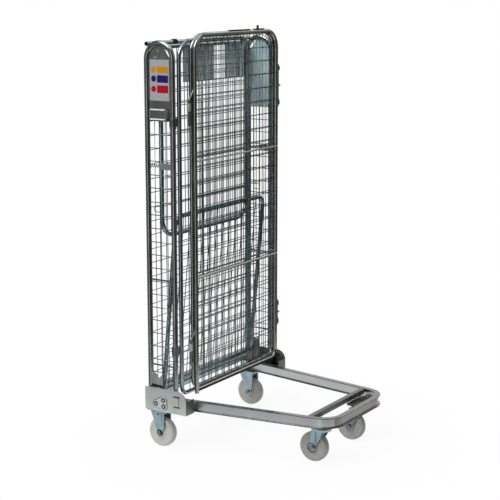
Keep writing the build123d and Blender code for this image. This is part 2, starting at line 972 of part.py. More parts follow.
with BuildPart() as right_hinges:
    for level in collar_levels:
        hinge_leaf(
            (wing_half, wing_front_y),
            level,
            collar_height,
            wing_r + running,
            collar_wall,
            (right_high_x, right_y),
            collar_arm,
        )
save(right_hinges, "right_side_hinges")

with BuildPart() as gate_hinge_eyes:
    for level in hinge_levels:
        hinge_leaf(
            (hinge_x, hinge_y),
            level,
            hinge_eye_height,
            hinge_pin_r + running,
            hinge_eye_wall,
            (right_low_x, right_y),
            hinge_arm,
        )
save(gate_hinge_eyes, "gate_hinge_eyes")

# Gate: a bent frame with its left tube run past the foot rail, and two stiffeners across the front
gate_butt = 2 * panel_tube
with BuildPart() as gate_frame:
    with BuildLine(upright(gate_y)) as run:
        FilletPolyline(
            (gate_low_x, gate_bottom - gate_tail),
            (gate_low_x, gate_top),
            (gate_high_x, gate_top),
            (gate_high_x, gate_bottom),
            (gate_low_x + gate_butt, gate_bottom),
            radius=(panel_bend, panel_bend, panel_foot_bend),
        )
    sweep_tube(run, panel_r)
    bar_along_x(panel_r, gate_low_x, gate_low_x + gate_butt, gate_y, gate_bottom)
    for level in stiffener_levels:
        bar_along_x(stiffener_r, gate_low_x, gate_high_x, gate_y - wire / 2 - stiffener_r, level)
save(gate_frame, "gate_frame")

gate_net = panel_net(
    gate_y, gate_low_x, gate_high_x, gate_bottom, gate_top, panel_foot_bend, panel_bend, columns=12, rows=25
)
save(gate_net, "gate_net")

# Gate hinge pins: straight through the eyes, then bent over to the gate's left tube
with BuildPart() as gate_hinge_pins:
    reach = Vector(gate_low_x, gate_y) - Vector(hinge_x, hinge_y)
    pin_plane = Plane(
        origin=(hinge_x, hinge_y, 0), x_dir=(reach.X, reach.Y, 0), z_dir=(reach.Y, -reach.X, 0)
    )
    for level in hinge_levels:
        with BuildLine(pin_plane) as run:
            FilletPolyline(
                (0, level - hinge_pin_drop),
                (0, level + hinge_pin_rise),
                (reach.length, level + hinge_pin_rise + hinge_pin_slope),
                radius=hinge_pin_bend,
            )
        sweep_tube(run, hinge_pin_r)
save(gate_hinge_pins, "gate_hinge_pins")

# Gate bolts: two rods with side handles that slide in sleeves on the gate's right tube
with BuildPart() as gate_bolt_sleeves:
    for name, low, high in bolt_spans:
        for level in (low, high):
            post(
                bolt_r + bolt_wall,
                bolt_x,
                gate_y,
                level - bolt_sleeve_height / 2,
                level + bolt_sleeve_height / 2,
            )
            post(
                bolt_r + running,
                bolt_x,
                gate_y,
                level - bolt_sleeve_height / 2,
                level + bolt_sleeve_height / 2,
                mode=Mode.SUBTRACT,
            )
save(gate_bolt_sleeves, "gate_bolt_sleeves")

for name, low, high in bolt_spans:
    with BuildPart() as gate_bolt:
        post(bolt_r, bolt_x, gate_y, low - bolt_overhang, high + bolt_overhang)
        rest_z = low + bolt_sleeve_height / 2 + seat_gap
        post(bolt_r + bolt_collar, bolt_x, gate_y, rest_z, rest_z + bolt_collar_height)
        bar_along_x(bolt_r, bolt_x, bolt_x + bolt_handle, gate_y, (low + high) / 2)
    save(gate_bolt, f"gate_bolt_{name}")

# Top catch: a strip and a knobbed plate saddled on the gate's top rail
catch_top = gate_top + panel_r + catch_height
with BuildPart() as gate_top_catch:
    for span_low, span_high in (
        (catch_strip_low_x, catch_strip_high_x),
        (catch_low_x, catch_high_x),
    ):
        block(
            span_low,
            span_high,
            gate_y - catch_width / 2,
            gate_y + catch_width / 2,
            gate_top + panel_r - catch_height,
            catch_top,
        )
    bar_along_x(panel_r, catch_strip_low_x, catch_high_x, gate_y, gate_top, mode=Mode.SUBTRACT)
    post(catch_knob_r, catch_knob_x, gate_y, catch_top, catch_top + catch_knob_height)
save(gate_top_catch, "gate_top_catch")
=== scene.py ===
from math import atan2, cos, hypot, pi, radians, sin

import bmesh
import bpy
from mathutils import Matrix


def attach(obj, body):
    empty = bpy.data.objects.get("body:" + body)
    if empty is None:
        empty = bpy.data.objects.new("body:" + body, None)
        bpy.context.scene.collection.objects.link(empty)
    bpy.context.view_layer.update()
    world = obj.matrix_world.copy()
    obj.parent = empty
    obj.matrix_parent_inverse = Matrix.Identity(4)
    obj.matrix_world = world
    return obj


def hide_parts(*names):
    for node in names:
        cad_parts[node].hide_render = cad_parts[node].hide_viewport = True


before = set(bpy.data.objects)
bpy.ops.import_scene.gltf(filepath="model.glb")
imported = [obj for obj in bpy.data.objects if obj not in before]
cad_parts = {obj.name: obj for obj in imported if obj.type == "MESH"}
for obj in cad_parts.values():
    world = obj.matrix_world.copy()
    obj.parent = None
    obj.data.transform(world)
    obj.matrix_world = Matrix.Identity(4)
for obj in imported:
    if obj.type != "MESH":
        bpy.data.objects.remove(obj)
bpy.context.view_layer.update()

# Base rail: one length of rolled steel section with two flanges, bent round the narrow front,
# welded to the corner brackets at the back and bright zinc plated.


def fill(node, inputs):
    """Sets or links the inputs of a node that are named."""
    for key, value in dict(inputs).items():
        if isinstance(value, bpy.types.NodeSocket):
            node.id_data.links.new(value, node.inputs[key])
        else:
            node.inputs[key].default_value = value


def add_node(tree, kind, inputs=(), **settings):
    """Adds a node, sets its choices and fills its inputs."""
    node = tree.nodes.new(kind)
    for key, value in settings.items():
        setattr(node, key, value)
    fill(node, inputs)
    return node


def made(tree, kind, inputs=(), **settings):
    """A new node's first output."""
    return add_node(tree, kind, inputs, **settings).outputs[0]


def maths(operation, *values):
    """One sum of sockets and numbers, as a socket."""
    tree = next(v.id_data for v in values if isinstance(v, bpy.types.NodeSocket))
    return made(tree, "ShaderNodeMath", dict(enumerate(values)), operation=operation)


def noise(place, scale, **inputs):
    """A cloudy pattern, as a socket."""
    inputs = {"Vector": place, "Scale": scale, **inputs}
    return made(place.id_data, "ShaderNodeTexNoise", inputs)


def ranged(value, low, high, top=1.0, **settings):
    """A value that runs from 0 to the top between two limits, as a socket."""
    limits = {"Value": value, "From Min": low, "From Max": high, "To Max": top}
    return made(value.id_data, "ShaderNodeMapRange", limits, **settings)


def mix_colours(factor, first, second):
    """Two colours mixed by a factor, as a socket."""
    inputs = {0: factor, 6: first, 7: second}
    return add_node(factor.id_data, "ShaderNodeMix", inputs, data_type="RGBA").outputs[2]


def on_piece(tree):
    """A point's place on its piece."""
    return tree.nodes.new("ShaderNodeTexCoord").outputs["Object"]


def new_material(name):
    """A new material with its node tree and its shader."""
    material = bpy.data.materials.new(name)
    material.use_nodes = True
    return material, material.node_tree, material.node_tree.nodes["Principled BSDF"]


def new_group(name, kind, inputs, outputs):
    """An empty node group with named inputs and outputs."""
    tree = bpy.data.node_groups.new(name, kind)
    for label, socket, *default in inputs:
        item = tree.interface.new_socket(label, in_out="INPUT", socket_type="NodeSocket" + socket)
        if default:
            item.default_value = default[0]
    for label, socket in outputs:
        tree.interface.new_socket(label, in_out="OUTPUT", socket_type="NodeSocket" + socket)
    return tree, tree.nodes.new("NodeGroupInput"), tree.nodes.new("NodeGroupOutput")


def zinc_group():
    """Zinc plating: cloudy brightness, drifting passivation colour, draw lines and scuffs."""
    tree, given, result = new_group(
        "zinc plating", "ShaderNodeTree",
        (
            ("Bright", "Color"), ("Dull", "Color"), ("Tint", "Color"), ("Tint Amount", "Float"),
            ("Cloud Scale", "Float"), ("Grain", "Vector"), ("Smooth", "Float"), ("Rough", "Float"),
        ),
        (("Colour", "Color"), ("Roughness", "Float"), ("Relief", "Float")),
    )
    bright, dull, tint, tint_amount, cloud_scale, grain, smooth, rough = given.outputs[:8]
    place = on_piece(tree)
    cloud = noise(place, cloud_scale, Detail=5.0, Roughness=0.6)
    drift = noise(place, 4.3, Detail=2.0, Distortion=0.8)
    along = made(tree, "ShaderNodeMapping", {"Vector": place, "Scale": grain})
    lines = noise(along, 1.0, Detail=3.0)
    scuff = noise(place, 170.0, Detail=4.0, Roughness=0.7)
    clouded = ranged(cloud, 0.32, 0.68)
    plain = mix_colours(clouded, dull, bright)
    tint_share = maths("MULTIPLY", ranged(drift, 0.42, 0.66), tint_amount)
    coloured = mix_colours(tint_share, plain, tint)
    worn = maths("MULTIPLY_ADD", lines, 0.18, 0.91)
    scaled = made(tree, "ShaderNodeVectorMath", {0: coloured, "Scale": worn}, operation="SCALE")
    share = maths("MULTIPLY_ADD", scuff, 0.6, maths("MULTIPLY", clouded, 0.4))
    span = maths("SUBTRACT", rough, smooth)
    roughness = maths("MULTIPLY_ADD", share, span, smooth)
    relief = maths("MULTIPLY_ADD", scuff, 0.6, lines)
    fill(result, {"Colour": scaled, "Roughness": roughness, "Relief": relief})
    return tree


zinc = zinc_group()


def plated(
    name, bright, dull, tint, stain=0.4, cloud=14.0, gloss=(0.22, 0.42), relief=0.03,
    grain=(420.0, 420.0, 9.0), metallic=1.0, specular=0.5,
):
    """A zinc-plated steel finish from its bright, dull and tint colours, the tint's share, the
    clouds' scale and its smoothest and roughest gloss. The grain runs along the axis with the
    smallest scale."""
    material, tree, shader = new_material(name)
    group = add_node(
        tree, "ShaderNodeGroup",
        {
            "Bright": (*bright, 1.0), "Dull": (*dull, 1.0), "Tint": (*tint, 1.0),
            "Tint Amount": stain, "Cloud Scale": cloud, "Grain": grain, "Smooth": gloss[0],
            "Rough": gloss[1],
        },
        node_tree=zinc,
    )
    bump = made(
        tree, "ShaderNodeBump",
        {"Height": group.outputs["Relief"], "Strength": relief, "Distance": 0.0006},
    )
    fill(
        shader,
        {
            "Metallic": metallic, "Specular IOR Level": specular,
            "Base Color": group.outputs["Colour"], "Roughness": group.outputs["Roughness"],
            "Normal": bump,
        },
    )
    return material


def shaped(tree, kind, inputs, **settings):
    """A new geometry node's first output."""
    return made(tree, "GeometryNode" + kind, inputs, **settings)


SHARP_ANGLE = 0.62


def section_tree():
    """Carries an outline along bent runs; the mesh holds both as loose edges."""
    tree, given, result = new_group(
        "bent section", "GeometryNodeTree",
        (
            ("Geometry", "Geometry"), ("Bend Steps", "Int"), ("Level Outline", "Bool"),
            ("Finish", "Material"),
        ),
        (("Geometry", "Geometry"),),
    )

    def named(kind, label):
        return add_node(
            tree, "GeometryNodeInputNamedAttribute", {"Name": label}, data_type=kind
        ).outputs["Attribute"]

    parts = add_node(
        tree, "GeometryNodeSeparateGeometry",
        {"Geometry": given.outputs["Geometry"], "Selection": named("BOOLEAN", "outline")},
    )
    curves = []
    for label, steps in (("Selection", 2), ("Inverted", given.outputs["Bend Steps"])):
        line = shaped(tree, "MeshToCurve", {"Mesh": parts.outputs[label]})
        bends = {"Radius": named("FLOAT", "bend"), "Count": steps, "Limit Radius": True}
        curves.append(shaped(tree, "FilletCurve", {"Curve": line, **bends}, mode="POLY"))
    outline, run = curves
    upright = {"Curve": run, "Selection": given.outputs["Level Outline"]}
    run = shaped(tree, "SetCurveNormal", upright, mode="Z_UP")
    swept = shaped(tree, "CurveToMesh", {"Curve": run, "Profile Curve": outline, "Fill Caps": True})
    smooth = shaped(tree, "SetShadeSmooth", {0: swept, "Shade Smooth": True}, domain="FACE")
    corner = tree.nodes.new("GeometryNodeInputMeshEdgeAngle").outputs["Unsigned Angle"]
    sharp = made(tree, "FunctionNodeCompare", {0: corner, 1: SHARP_ANGLE}, operation="GREATER_THAN")
    edges = {0: smooth, "Selection": sharp, "Shade Smooth": False}
    edged = shaped(tree, "SetShadeSmooth", edges, domain="EDGE")
    real = shaped(tree, "RealizeInstances", {"Geometry": edged})
    done = shaped(tree, "SetMaterial", {"Geometry": real, "Material": given.outputs["Finish"]})
    fill(result, {0: done})
    return tree


bent_section = section_tree()


def settled(piece):
    """Turns a piece's modifiers into a plain mesh."""
    graph = bpy.context.evaluated_depsgraph_get()
    plain = bpy.data.meshes.new_from_object(
        piece.evaluated_get(graph), preserve_all_data_layers=True, depsgraph=graph
    )
    piece.modifiers.clear()
    spare = piece.data
    piece.data = plain
    bpy.data.meshes.remove(spare)
    return piece


def grown(piece, tree, **values):
    """Runs a geometry tree on a piece, its inputs named as in the tree, and keeps the mesh."""
    modifier = piece.modifiers.new(tree.name, "NODES")
    modifier.node_group = tree
    for item in tree.interface.items_tree:
        label = item.name.lower().replace(" ", "_")
        if item.in_out == "INPUT" and label in values:
            modifier[item.identifier] = values[label]
    return settled(piece)


def rounded(piece, corner):
    """Smooth shading with sharp corners over an angle in degrees."""
    piece.data.shade_smooth()
    piece.data.set_sharp_from_angle(angle=radians(corner))
    return piece


def flat_faced(piece):
    """Shading that leaves broad faces flat and turns only along their broken edges."""
    rounded(piece, 50.0)
    weighted = piece.modifiers.new("flat faces", "WEIGHTED_NORMAL")
    weighted.keep_sharp = True
    return settled(piece)


def finished(piece, body, slot, *nodes):
    """Hands a finished piece to its body, with the nodes that it stands for hidden; the finish slot
    is not used.
    """
    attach(piece, body)
    if nodes:
        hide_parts(*nodes)
    return piece


def placed(name, mesh):
    """A mesh as an object at the origin."""
    piece = bpy.data.objects.new(name, mesh)
    bpy.context.scene.collection.objects.link(piece)
    return piece


def new_piece(name, vertices=(), edges=(), faces=(), finish=None):
    """A mesh object from its corners, with a finish if it has one already."""
    mesh = bpy.data.meshes.new(name)
    mesh.from_pydata(vertices, edges, faces)
    if finish:
        mesh.materials.append(finish)
    return placed(name, mesh)


def refaced(piece, finish, chosen):
    """Gives the faces that a test picks out a finish of their own."""
    piece.data.materials.append(finish)
    for face in piece.data.polygons:
        if chosen(face):
            face.material_index = len(piece.data.materials) - 1


def bent(name, runs, outline, finish, bend_steps=10, level=False, closed=False):
    """Runs of (points, bends) with one outline of (points, bends) carried along them."""
    vertices, edges, bends, flags = [], [], [], []
    shape, shape_bends = outline
    outline = ([(u, v, 0.0) for u, v in shape], shape_bends)
    for points, radii in (*runs, outline):
        is_outline = points is outline[0]
        start = len(vertices)
        vertices += points
        bends += radii
        flags += [is_outline] * len(points)
        edges += [(start + i, start + i + 1) for i in range(len(points) - 1)]
        if closed or is_outline:
            edges.append((start + len(points) - 1, start))
    piece = new_piece(name, vertices, edges)
    piece.data.attributes.new("bend", "FLOAT", "POINT").data.foreach_set("value", bends)
    piece.data.attributes.new("outline", "BOOLEAN", "POINT").data.foreach_set("value", flags)
    return grown(piece, bent_section, bend_steps=bend_steps, level_outline=level, finish=finish)


RAIL_PLATING = {"stain": 0.55, "cloud": 9.0, "relief": 0.0, "grain": (12.0, 5.0, 300.0)}
rail_finish = plated(
    "bright rail zinc", (0.51, 0.515, 0.525), (0.38, 0.385, 0.395), (0.42, 0.37, 0.35),
    gloss=(0.18, 0.36), **RAIL_PLATING,
)
RAIL_MID = 0.1885
RAIL_HALF = 0.0215
RAIL_SIDE = 0.012
RAIL_WALL = 0.003
RAIL_ROUND = 0.0003
WEB_HALF = 0.004
RAIL_BACK_X, RAIL_BACK_Y = 0.3364, 0.39525
RAIL_FRONT_X, RAIL_FRONT_Y = 0.218, -0.39675
RAIL_BEND = 0.088
LIT_SIDE_X, LIT_SIDE_Y = 0.2, -0.29
rail_low = RAIL_HALF - RAIL_WALL
half_rail = [
    (RAIL_SIDE, -RAIL_HALF), (RAIL_SIDE, -rail_low), (WEB_HALF, -rail_low), (WEB_HALF, rail_low),
    (RAIL_SIDE, rail_low), (RAIL_SIDE, RAIL_HALF),
]
rail_outline = (half_rail + [(-u, -v) for u, v in half_rail], [RAIL_ROUND] * 12)
rail_run = [
    (-RAIL_BACK_X, RAIL_BACK_Y, RAIL_MID),
    (-RAIL_FRONT_X, RAIL_FRONT_Y, RAIL_MID),
    (RAIL_FRONT_X, RAIL_FRONT_Y, RAIL_MID),
    (RAIL_BACK_X, RAIL_BACK_Y, RAIL_MID),
]
base_rail = bent(
    "base_rail_section", [(rail_run, [0.0, RAIL_BEND, RAIL_BEND, 0.0])], rail_outline, rail_finish,
    16, level=True,
)
# Painted light: a lighter copy of the rail zinc for the upward faces and the right rail's inner
# face, as if lit.
lit_rail_finish = plated(
    "painted light rail zinc", (0.6, 0.63, 0.63), (0.45, 0.475, 0.48), (0.51, 0.51, 0.47),
    gloss=(0.20, 0.38), **RAIL_PLATING,
)
# Painted shade: a darker tan copy of the rail zinc for the faces that look forward.
shaded_front_rail_finish = plated(
    "tan rail zinc in painted shade", (0.29, 0.283, 0.265), (0.2, 0.195, 0.18), (0.28, 0.24, 0.20),
    gloss=(0.18, 0.36), **RAIL_PLATING,
)
# Painted shade: the flange edges in near-black, as the dark lines along the rail's top and bottom.
lip_shade_finish = plated(
    "dark rail lip in painted shade", (0.13, 0.16, 0.16), (0.05, 0.07, 0.07), (0.10, 0.10, 0.08), cloud=9.0,
    gloss=(0.25, 0.45), relief=0.0,
)
# Painted light on the upward faces and on the right rail's inner face
refaced(
    base_rail, lit_rail_finish,
    lambda f: f.normal.z > 0.7 or (f.center.x > LIT_SIDE_X and f.center.y > LIT_SIDE_Y),
)
# Painted shade on the faces that look forward
refaced(base_rail, shaded_front_rail_finish, lambda f: f.normal.y < -0.88)
# Painted shade on the flange edges
refaced(
    base_rail, lip_shade_finish,
    lambda f: abs(f.normal.z) < 0.5 and abs(f.center.z - RAIL_MID) > rail_low - 0.0004,
)
finished(flat_faced(base_rail), "chassis", "rail_steel", "base_rail")

# Crossbar, castor plates and rear cross member: square bar, plate and box section, cut to fit
# inside the rail, welded to its flanges and plated with it.


def broken_edges(piece, width, segments=2):
    """Small rounds on the edges, with flat faces between them."""
    bevel = piece.modifiers.new("broken edges", "BEVEL")
    bevel.width = width
    bevel.segments = segments
    bevel.limit_method = "ANGLE"
    bevel.angle_limit = radians(40.0)
    return flat_faced(settled(piece))


def softened(node, name, finish, slot, body, width=0.0008, segments=2):
    """The node's own shape with its edges broken, as pressed and plated steel has them."""
    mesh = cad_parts[node].data.copy()
    mesh.materials.clear()
    work = bmesh.new()
    work.from_mesh(mesh)
    bmesh.ops.remove_doubles(work, verts=work.verts, dist=1e-6)
    bmesh.ops.dissolve_limit(
        work, angle_limit=radians(0.4), verts=work.verts, edges=work.edges, delimit={"NORMAL"}
    )
    work.to_mesh(mesh)
    work.free()
    mesh.materials.append(finish)
    piece = broken_edges(placed(name, mesh), width, segments)
    return finished(piece, body, slot, node)


SIDES = (("left", -1.0), ("right", 1.0))
member_finish = plated(
    "dark member zinc", (0.33, 0.37, 0.37), (0.17, 0.2, 0.2), (0.24, 0.34, 0.36), stain=0.5,
    cloud=12.0, gloss=(0.16, 0.34), relief=0.0,
)
shaded_plate_finish = plated(
    "shaded plate zinc", (0.24, 0.24, 0.215), (0.12, 0.12, 0.105), (0.20, 0.17, 0.12), stain=0.5,
    cloud=30.0, gloss=(0.45, 0.6), relief=0.0,
)
crossbar = softened("front_crossbar", "crossbar", member_finish, "rail_steel", "chassis", 0.0015)
refaced(crossbar, shaded_plate_finish, lambda f: f.normal.z < 0.5)
softened("rear_cross_member", "cross_member", member_finish, "rail_steel", "chassis", 0.004, 4)
for side, sign in SIDES:
    softened(
        f"castor_plate_{side}", f"corner_plate_{side}", shaded_plate_finish, "rail_steel", "chassis"
    )

# Corner brackets: thick pressed steel sheet with two slots and a strap pushed out between them,
# a riveted pad on the outside, dull light zinc plate.
bracket_finish = plated(
    "dull bracket zinc", (0.79, 0.825, 0.81), (0.66, 0.7, 0.69), (0.44, 0.48, 0.47), cloud=18.0,
    gloss=(0.40, 0.60),
)
fixing_finish = plated(
    "dark fixing zinc", (0.26, 0.29, 0.3), (0.11, 0.125, 0.13), (0.16, 0.16, 0.14), cloud=60.0,
    gloss=(0.25, 0.45),
)
# Near-black: painted shade on strips, rims and gaps; also used on the washers and the lid hooks.
shade_finish = plated(
    "black and painted shade", (0.05, 0.05, 0.05), (0.02, 0.02, 0.02), (0.05, 0.03, 0.02), cloud=60.0,
    gloss=(0.6, 0.8),
)
shaded_bracket_finish = plated(
    "shaded bracket zinc", (0.22, 0.245, 0.23), (0.13, 0.145, 0.13), (0.24, 0.24, 0.20), cloud=18.0,
    gloss=(0.34, 0.52),
)


def filled(piece, work, finish):
    """Puts a worked mesh into a piece, its faces turned outward."""
    bmesh.ops.recalc_face_normals(work, faces=work.faces)
    work.to_mesh(piece.data)
    work.free()
    piece.data.materials.append(finish)
    return piece


def closed_up(name, vertices, faces, finish):
    """A closed piece from its corners and faces, turned outward."""
    piece = new_piece(name, vertices, faces=faces)
    work = bmesh.new()
    work.from_mesh(piece.data)
    return filled(piece, work, finish)


def turned(name, centre, profile, finish, steps=64):
    """A closed profile of (distance along X, radius) points turned round an axle."""
    x, y, z = centre
    count = len(profile)
    vertices, faces = [], []
    for step in range(steps):
        angle = 2 * pi * step / steps
        for reach, radius in profile:
            vertices.append((x + reach, y + radius * cos(angle), z + radius * sin(angle)))
        this, then = step * count, (step + 1) % steps * count
        for i in range(count):
            j = (i + 1) % count
            faces.append((this + i, this + j, then + j, then + i))
    return rounded(closed_up(name, vertices, faces, finish), 34.0)


def joined(name, pieces):
    """Several meshes of one body as one piece."""
    work = bmesh.new()
    materials = []
    for piece in pieces:
        for material in piece.data.materials:
            if material not in materials:
                materials.append(material)
    for piece in pieces:
        slots = [materials.index(m) for m in piece.data.materials]
        before = len(work.faces)
        work.from_mesh(piece.data)
        work.faces.ensure_lookup_table()
        for face in work.faces[before:]:
            face.material_index = slots[face.material_index]
    mesh = bpy.data.meshes.new(name)
    work.to_mesh(mesh)
    work.free()
    for material in materials:
        mesh.materials.append(material)
    for piece in pieces:
        spare = piece.data
        bpy.data.objects.remove(piece)
        bpy.data.meshes.remove(spare)
    return placed(name, mesh)


PAD_STEPS = 28
PAD_BOLTS = ((0.3430, 0.1980), (0.3050, 0.2175), (0.3035, 0.1905))
PAD_FACE = 0.394
# Rim circles round each bolt, of the pad and of a wider black rim behind it as the pad's painted
# shadow: (reach along X, radius)
PAD_RIMS = ((0.3915, 0.0155), (0.3932, 0.0155), (PAD_FACE, 0.0146))
PAD_SHADOW_RIMS = ((0.3910, 0.0178), (0.3917, 0.0178))
# Painted shade along the strap's edges and inside the slots, as thin black plates: name, number, X,
# middle Y, half width, middle Z, half height
SLITS = (
    ("strap_edge", 0, 0.3912, 0.2300, 0.0011, 0.2185, 0.0185),
    ("strap_edge", 1, 0.3912, 0.2475, 0.0011, 0.2185, 0.0185),
    ("slot_lining", 0, 0.3863, 0.23875, 0.0185, 0.197, 0.0042),
    ("slot_lining", 1, 0.3863, 0.23875, 0.0185, 0.240, 0.0042),
)
for side, sign in SIDES:
    finish = bracket_finish if side == "left" else shaded_bracket_finish
    bracket = softened(
        f"corner_bracket_{side}", f"bracket_{side}", finish, "bracket_steel", "chassis", 0.0012
    )
    refaced(bracket, shaded_bracket_finish, lambda f: f.normal.y < -0.6)
    # The pad in light zinc, and behind it a wider black rim: the pad's painted shadow.
    for name, rims, finish, nodes in (
        ("pad", PAD_RIMS, bracket_finish, [f"bracket_pad_{side}"]),
        ("pad_gasket", PAD_SHADOW_RIMS, shade_finish, []),
    ):
        work = bmesh.new()
        for y, z in PAD_BOLTS:
            for reach, radius in rims:
                for step in range(PAD_STEPS):
                    angle = 2 * pi * step / PAD_STEPS
                    spot = (y + radius * cos(angle), z + radius * sin(angle))
                    work.verts.new((sign * reach, *spot))
        spare = bmesh.ops.convex_hull(work, input=work.verts)["geom_interior"]
        loose = [v for v in spare if isinstance(v, bmesh.types.BMVert)]
        bmesh.ops.delete(work, geom=loose, context="VERTS")
        pad = rounded(filled(new_piece(f"{name}_{side}"), work, finish), 30.0)
        finished(pad, "chassis", "bracket_steel", *nodes)
    for name, number, x, y, half_width, z, half_height in SLITS:
        slit = new_piece(
            f"{name}_{side}_{number}",
            [
                (sign * x, y + u * half_width, z + v * half_height)
                for u, v in ((-1, -1), (1, -1), (1, 1), (-1, 1))
            ],
            faces=[(0, 1, 2, 3) if side == "right" else (3, 2, 1, 0)], finish=shade_finish,
        )
        finished(slit, "chassis", "bracket_steel")
# Painted shadow: a black ring round each bolt's dome, as the dark crescent of its recess.
bolt_shadow_ring = [(0.0, 0.0036), (0.0, 0.0102), (0.0007, 0.0100), (0.0007, 0.0038)]
bolt_dome = [(0.0, 0.0002), (0.0, 0.0046), (0.0014, 0.0044), (0.0022, 0.0030), (0.0024, 0.0002)]
heads = []
for side, sign in SIDES:
    for number, (y, z) in enumerate(PAD_BOLTS):
        spot = (sign * PAD_FACE, y, z)
        for part, profile, finish in (
            ("ring", bolt_shadow_ring, shade_finish), ("dome", bolt_dome, bracket_finish)
        ):
            shape = [(sign * reach, radius) for reach, radius in profile]
            heads.append(turned(f"pad_bolt_{part}_{side}_{number}", spot, shape, finish, 24))
finished(joined("pad_bolts", heads), "chassis", "fixings", "bracket_bolts")
softened("deck_lugs", "deck_hinge_lugs", bracket_finish, "bracket_steel", "chassis")

# Castors: pressed forks in blue-passivated zinc, a dark seal under each front head, and smooth
# off-white moulded nylon wheels on shouldered axle bolts.
castor_finish = plated(
    "blue castor zinc", (0.39, 0.49, 0.54), (0.22, 0.295, 0.335), (0.2, 0.32, 0.37), stain=0.5,
    cloud=26.0, gloss=(0.16, 0.32),
)
DIRT = (0.26, 0.25, 0.21, 1.0)


def nylon(name, dark, light):
    """Moulded nylon with faint mould clouds, scuffs and ground-in dirt."""
    material, tree, shader = new_material(name)
    place = on_piece(tree)
    cloud = noise(place, 38.0, Detail=4.0)
    specks = noise(place, 320.0, Detail=3.0, Roughness=0.7)
    dirty = maths("MULTIPLY", ranged(specks, 0.56, 0.72), 0.5)
    soiled = mix_colours(dirty, mix_colours(cloud, dark, light), DIRT)
    rough = maths("MULTIPLY_ADD", specks, 0.25, 0.34)
    pits = made(tree, "ShaderNodeBump", {"Height": specks, "Strength": 0.08, "Distance": 0.0005})
    fill(shader, {"Base Color": soiled, "Roughness": rough, "Normal": pits})
    return material


def oblong(low, high, bottom, top):
    """The four corners of an upright rectangle."""
    return ((low, bottom), (high, bottom), (high, top), (low, top))


def plate(name, corners, start, thickness, finish, bevel=0.0008):
    """A flat plate across X from its outline of (Y, Z) corners."""
    count = len(corners)
    vertices = [(x, y, z) for x in (start, start + thickness) for y, z in corners]
    faces = [tuple(range(count)), tuple(range(count, 2 * count))]
    for i in range(count):
        j = (i + 1) % count
        faces.append((i, j, count + j, count + i))
    return broken_edges(closed_up(name, vertices, faces, finish), bevel)


WHEEL_R = 0.0625
HUB_HALF = 0.02
BORE_R = 0.00606
half_profile = [
    (HUB_HALF, BORE_R), (HUB_HALF, 0.0185), (0.0194, 0.0198), (0.0170, 0.0215), (0.0160, 0.0240),
    (0.0158, 0.0450), (0.0172, 0.0485), (0.0178, 0.0530), (0.0172, 0.0565), (0.0152, 0.0592),
    (0.0118, 0.0612), (0.0070, 0.0622), (0.0, WHEEL_R),
]
wheel_profile = half_profile + [(-reach, radius) for reach, radius in half_profile[-2::-1]]
# The front wheels take a darker copy of the nylon as painted shade.
lit_nylon = nylon("off-white nylon", (0.45, 0.45, 0.42, 1.0), (0.60, 0.60, 0.56, 1.0))
shaded_nylon = nylon("shaded nylon", (0.29, 0.29, 0.26, 1.0), (0.42, 0.42, 0.38, 1.0))
seal_finish = plated(
    "dark seal", (0.10, 0.06, 0.06), (0.03, 0.02, 0.02), (0.08, 0.03, 0.03), gloss=(0.45, 0.7),
    metallic=0.0,
)
shaded_castor_finish = plated(
    "shaded castor zinc", (0.24, 0.30, 0.31), (0.13, 0.17, 0.18), (0.14, 0.18, 0.18), stain=0.5,
    cloud=26.0, gloss=(0.16, 0.32),
)
# Painted shade: the swivel heads under the rail in near-black red-brown.
head_shade_finish = plated(
    "dark red head zinc in painted shade", (0.14, 0.11, 0.11), (0.05, 0.04, 0.04), (0.16, 0.05, 0.04), cloud=40.0,
    gloss=(0.3, 0.5),
)
FORK_CHEEK = (
    (0.3890, 0.1620), (0.3755, 0.1375), (0.3655, 0.0865), (0.3590, 0.0580), (0.3465, 0.0500),
    (0.3360, 0.0560), (0.3320, 0.0700), (0.3240, 0.0880), (0.3220, 0.1620),
)
# Painted shade and reflection: thin dark plates on the forks stand for their folds and the gusset's
# bent flange.
fold_shade_finish = plated(
    "deep fold zinc", (0.15, 0.22, 0.25), (0.07, 0.11, 0.13), (0.08, 0.12, 0.13), cloud=40.0,
    gloss=(0.2, 0.4),
)
REAR_FOLD_SHADES = (
    (oblong(0.3352, 0.3376, 0.090, 0.156), fold_shade_finish),
    (((0.3228, 0.090), (0.3248, 0.090), (0.3240, 0.156), (0.3220, 0.156)), fold_shade_finish),
    (oblong(0.3490, 0.3570, 0.139, 0.146), shade_finish),
)
FRONT_FOLD_SHADES = (
    (oblong(-0.3010, -0.2965, 0.080, 0.137), fold_shade_finish),
    (((-0.3250, 0.112), (-0.3180, 0.112), (-0.3320, 0.140), (-0.3470, 0.140)), fold_shade_finish),
)
WASHER_WALL, WASHER_EDGE = 0.0018, 0.0012
FOLD_SHADE_DEPTH, FOLD_SHADE_WALL = 0.0006, 0.0009
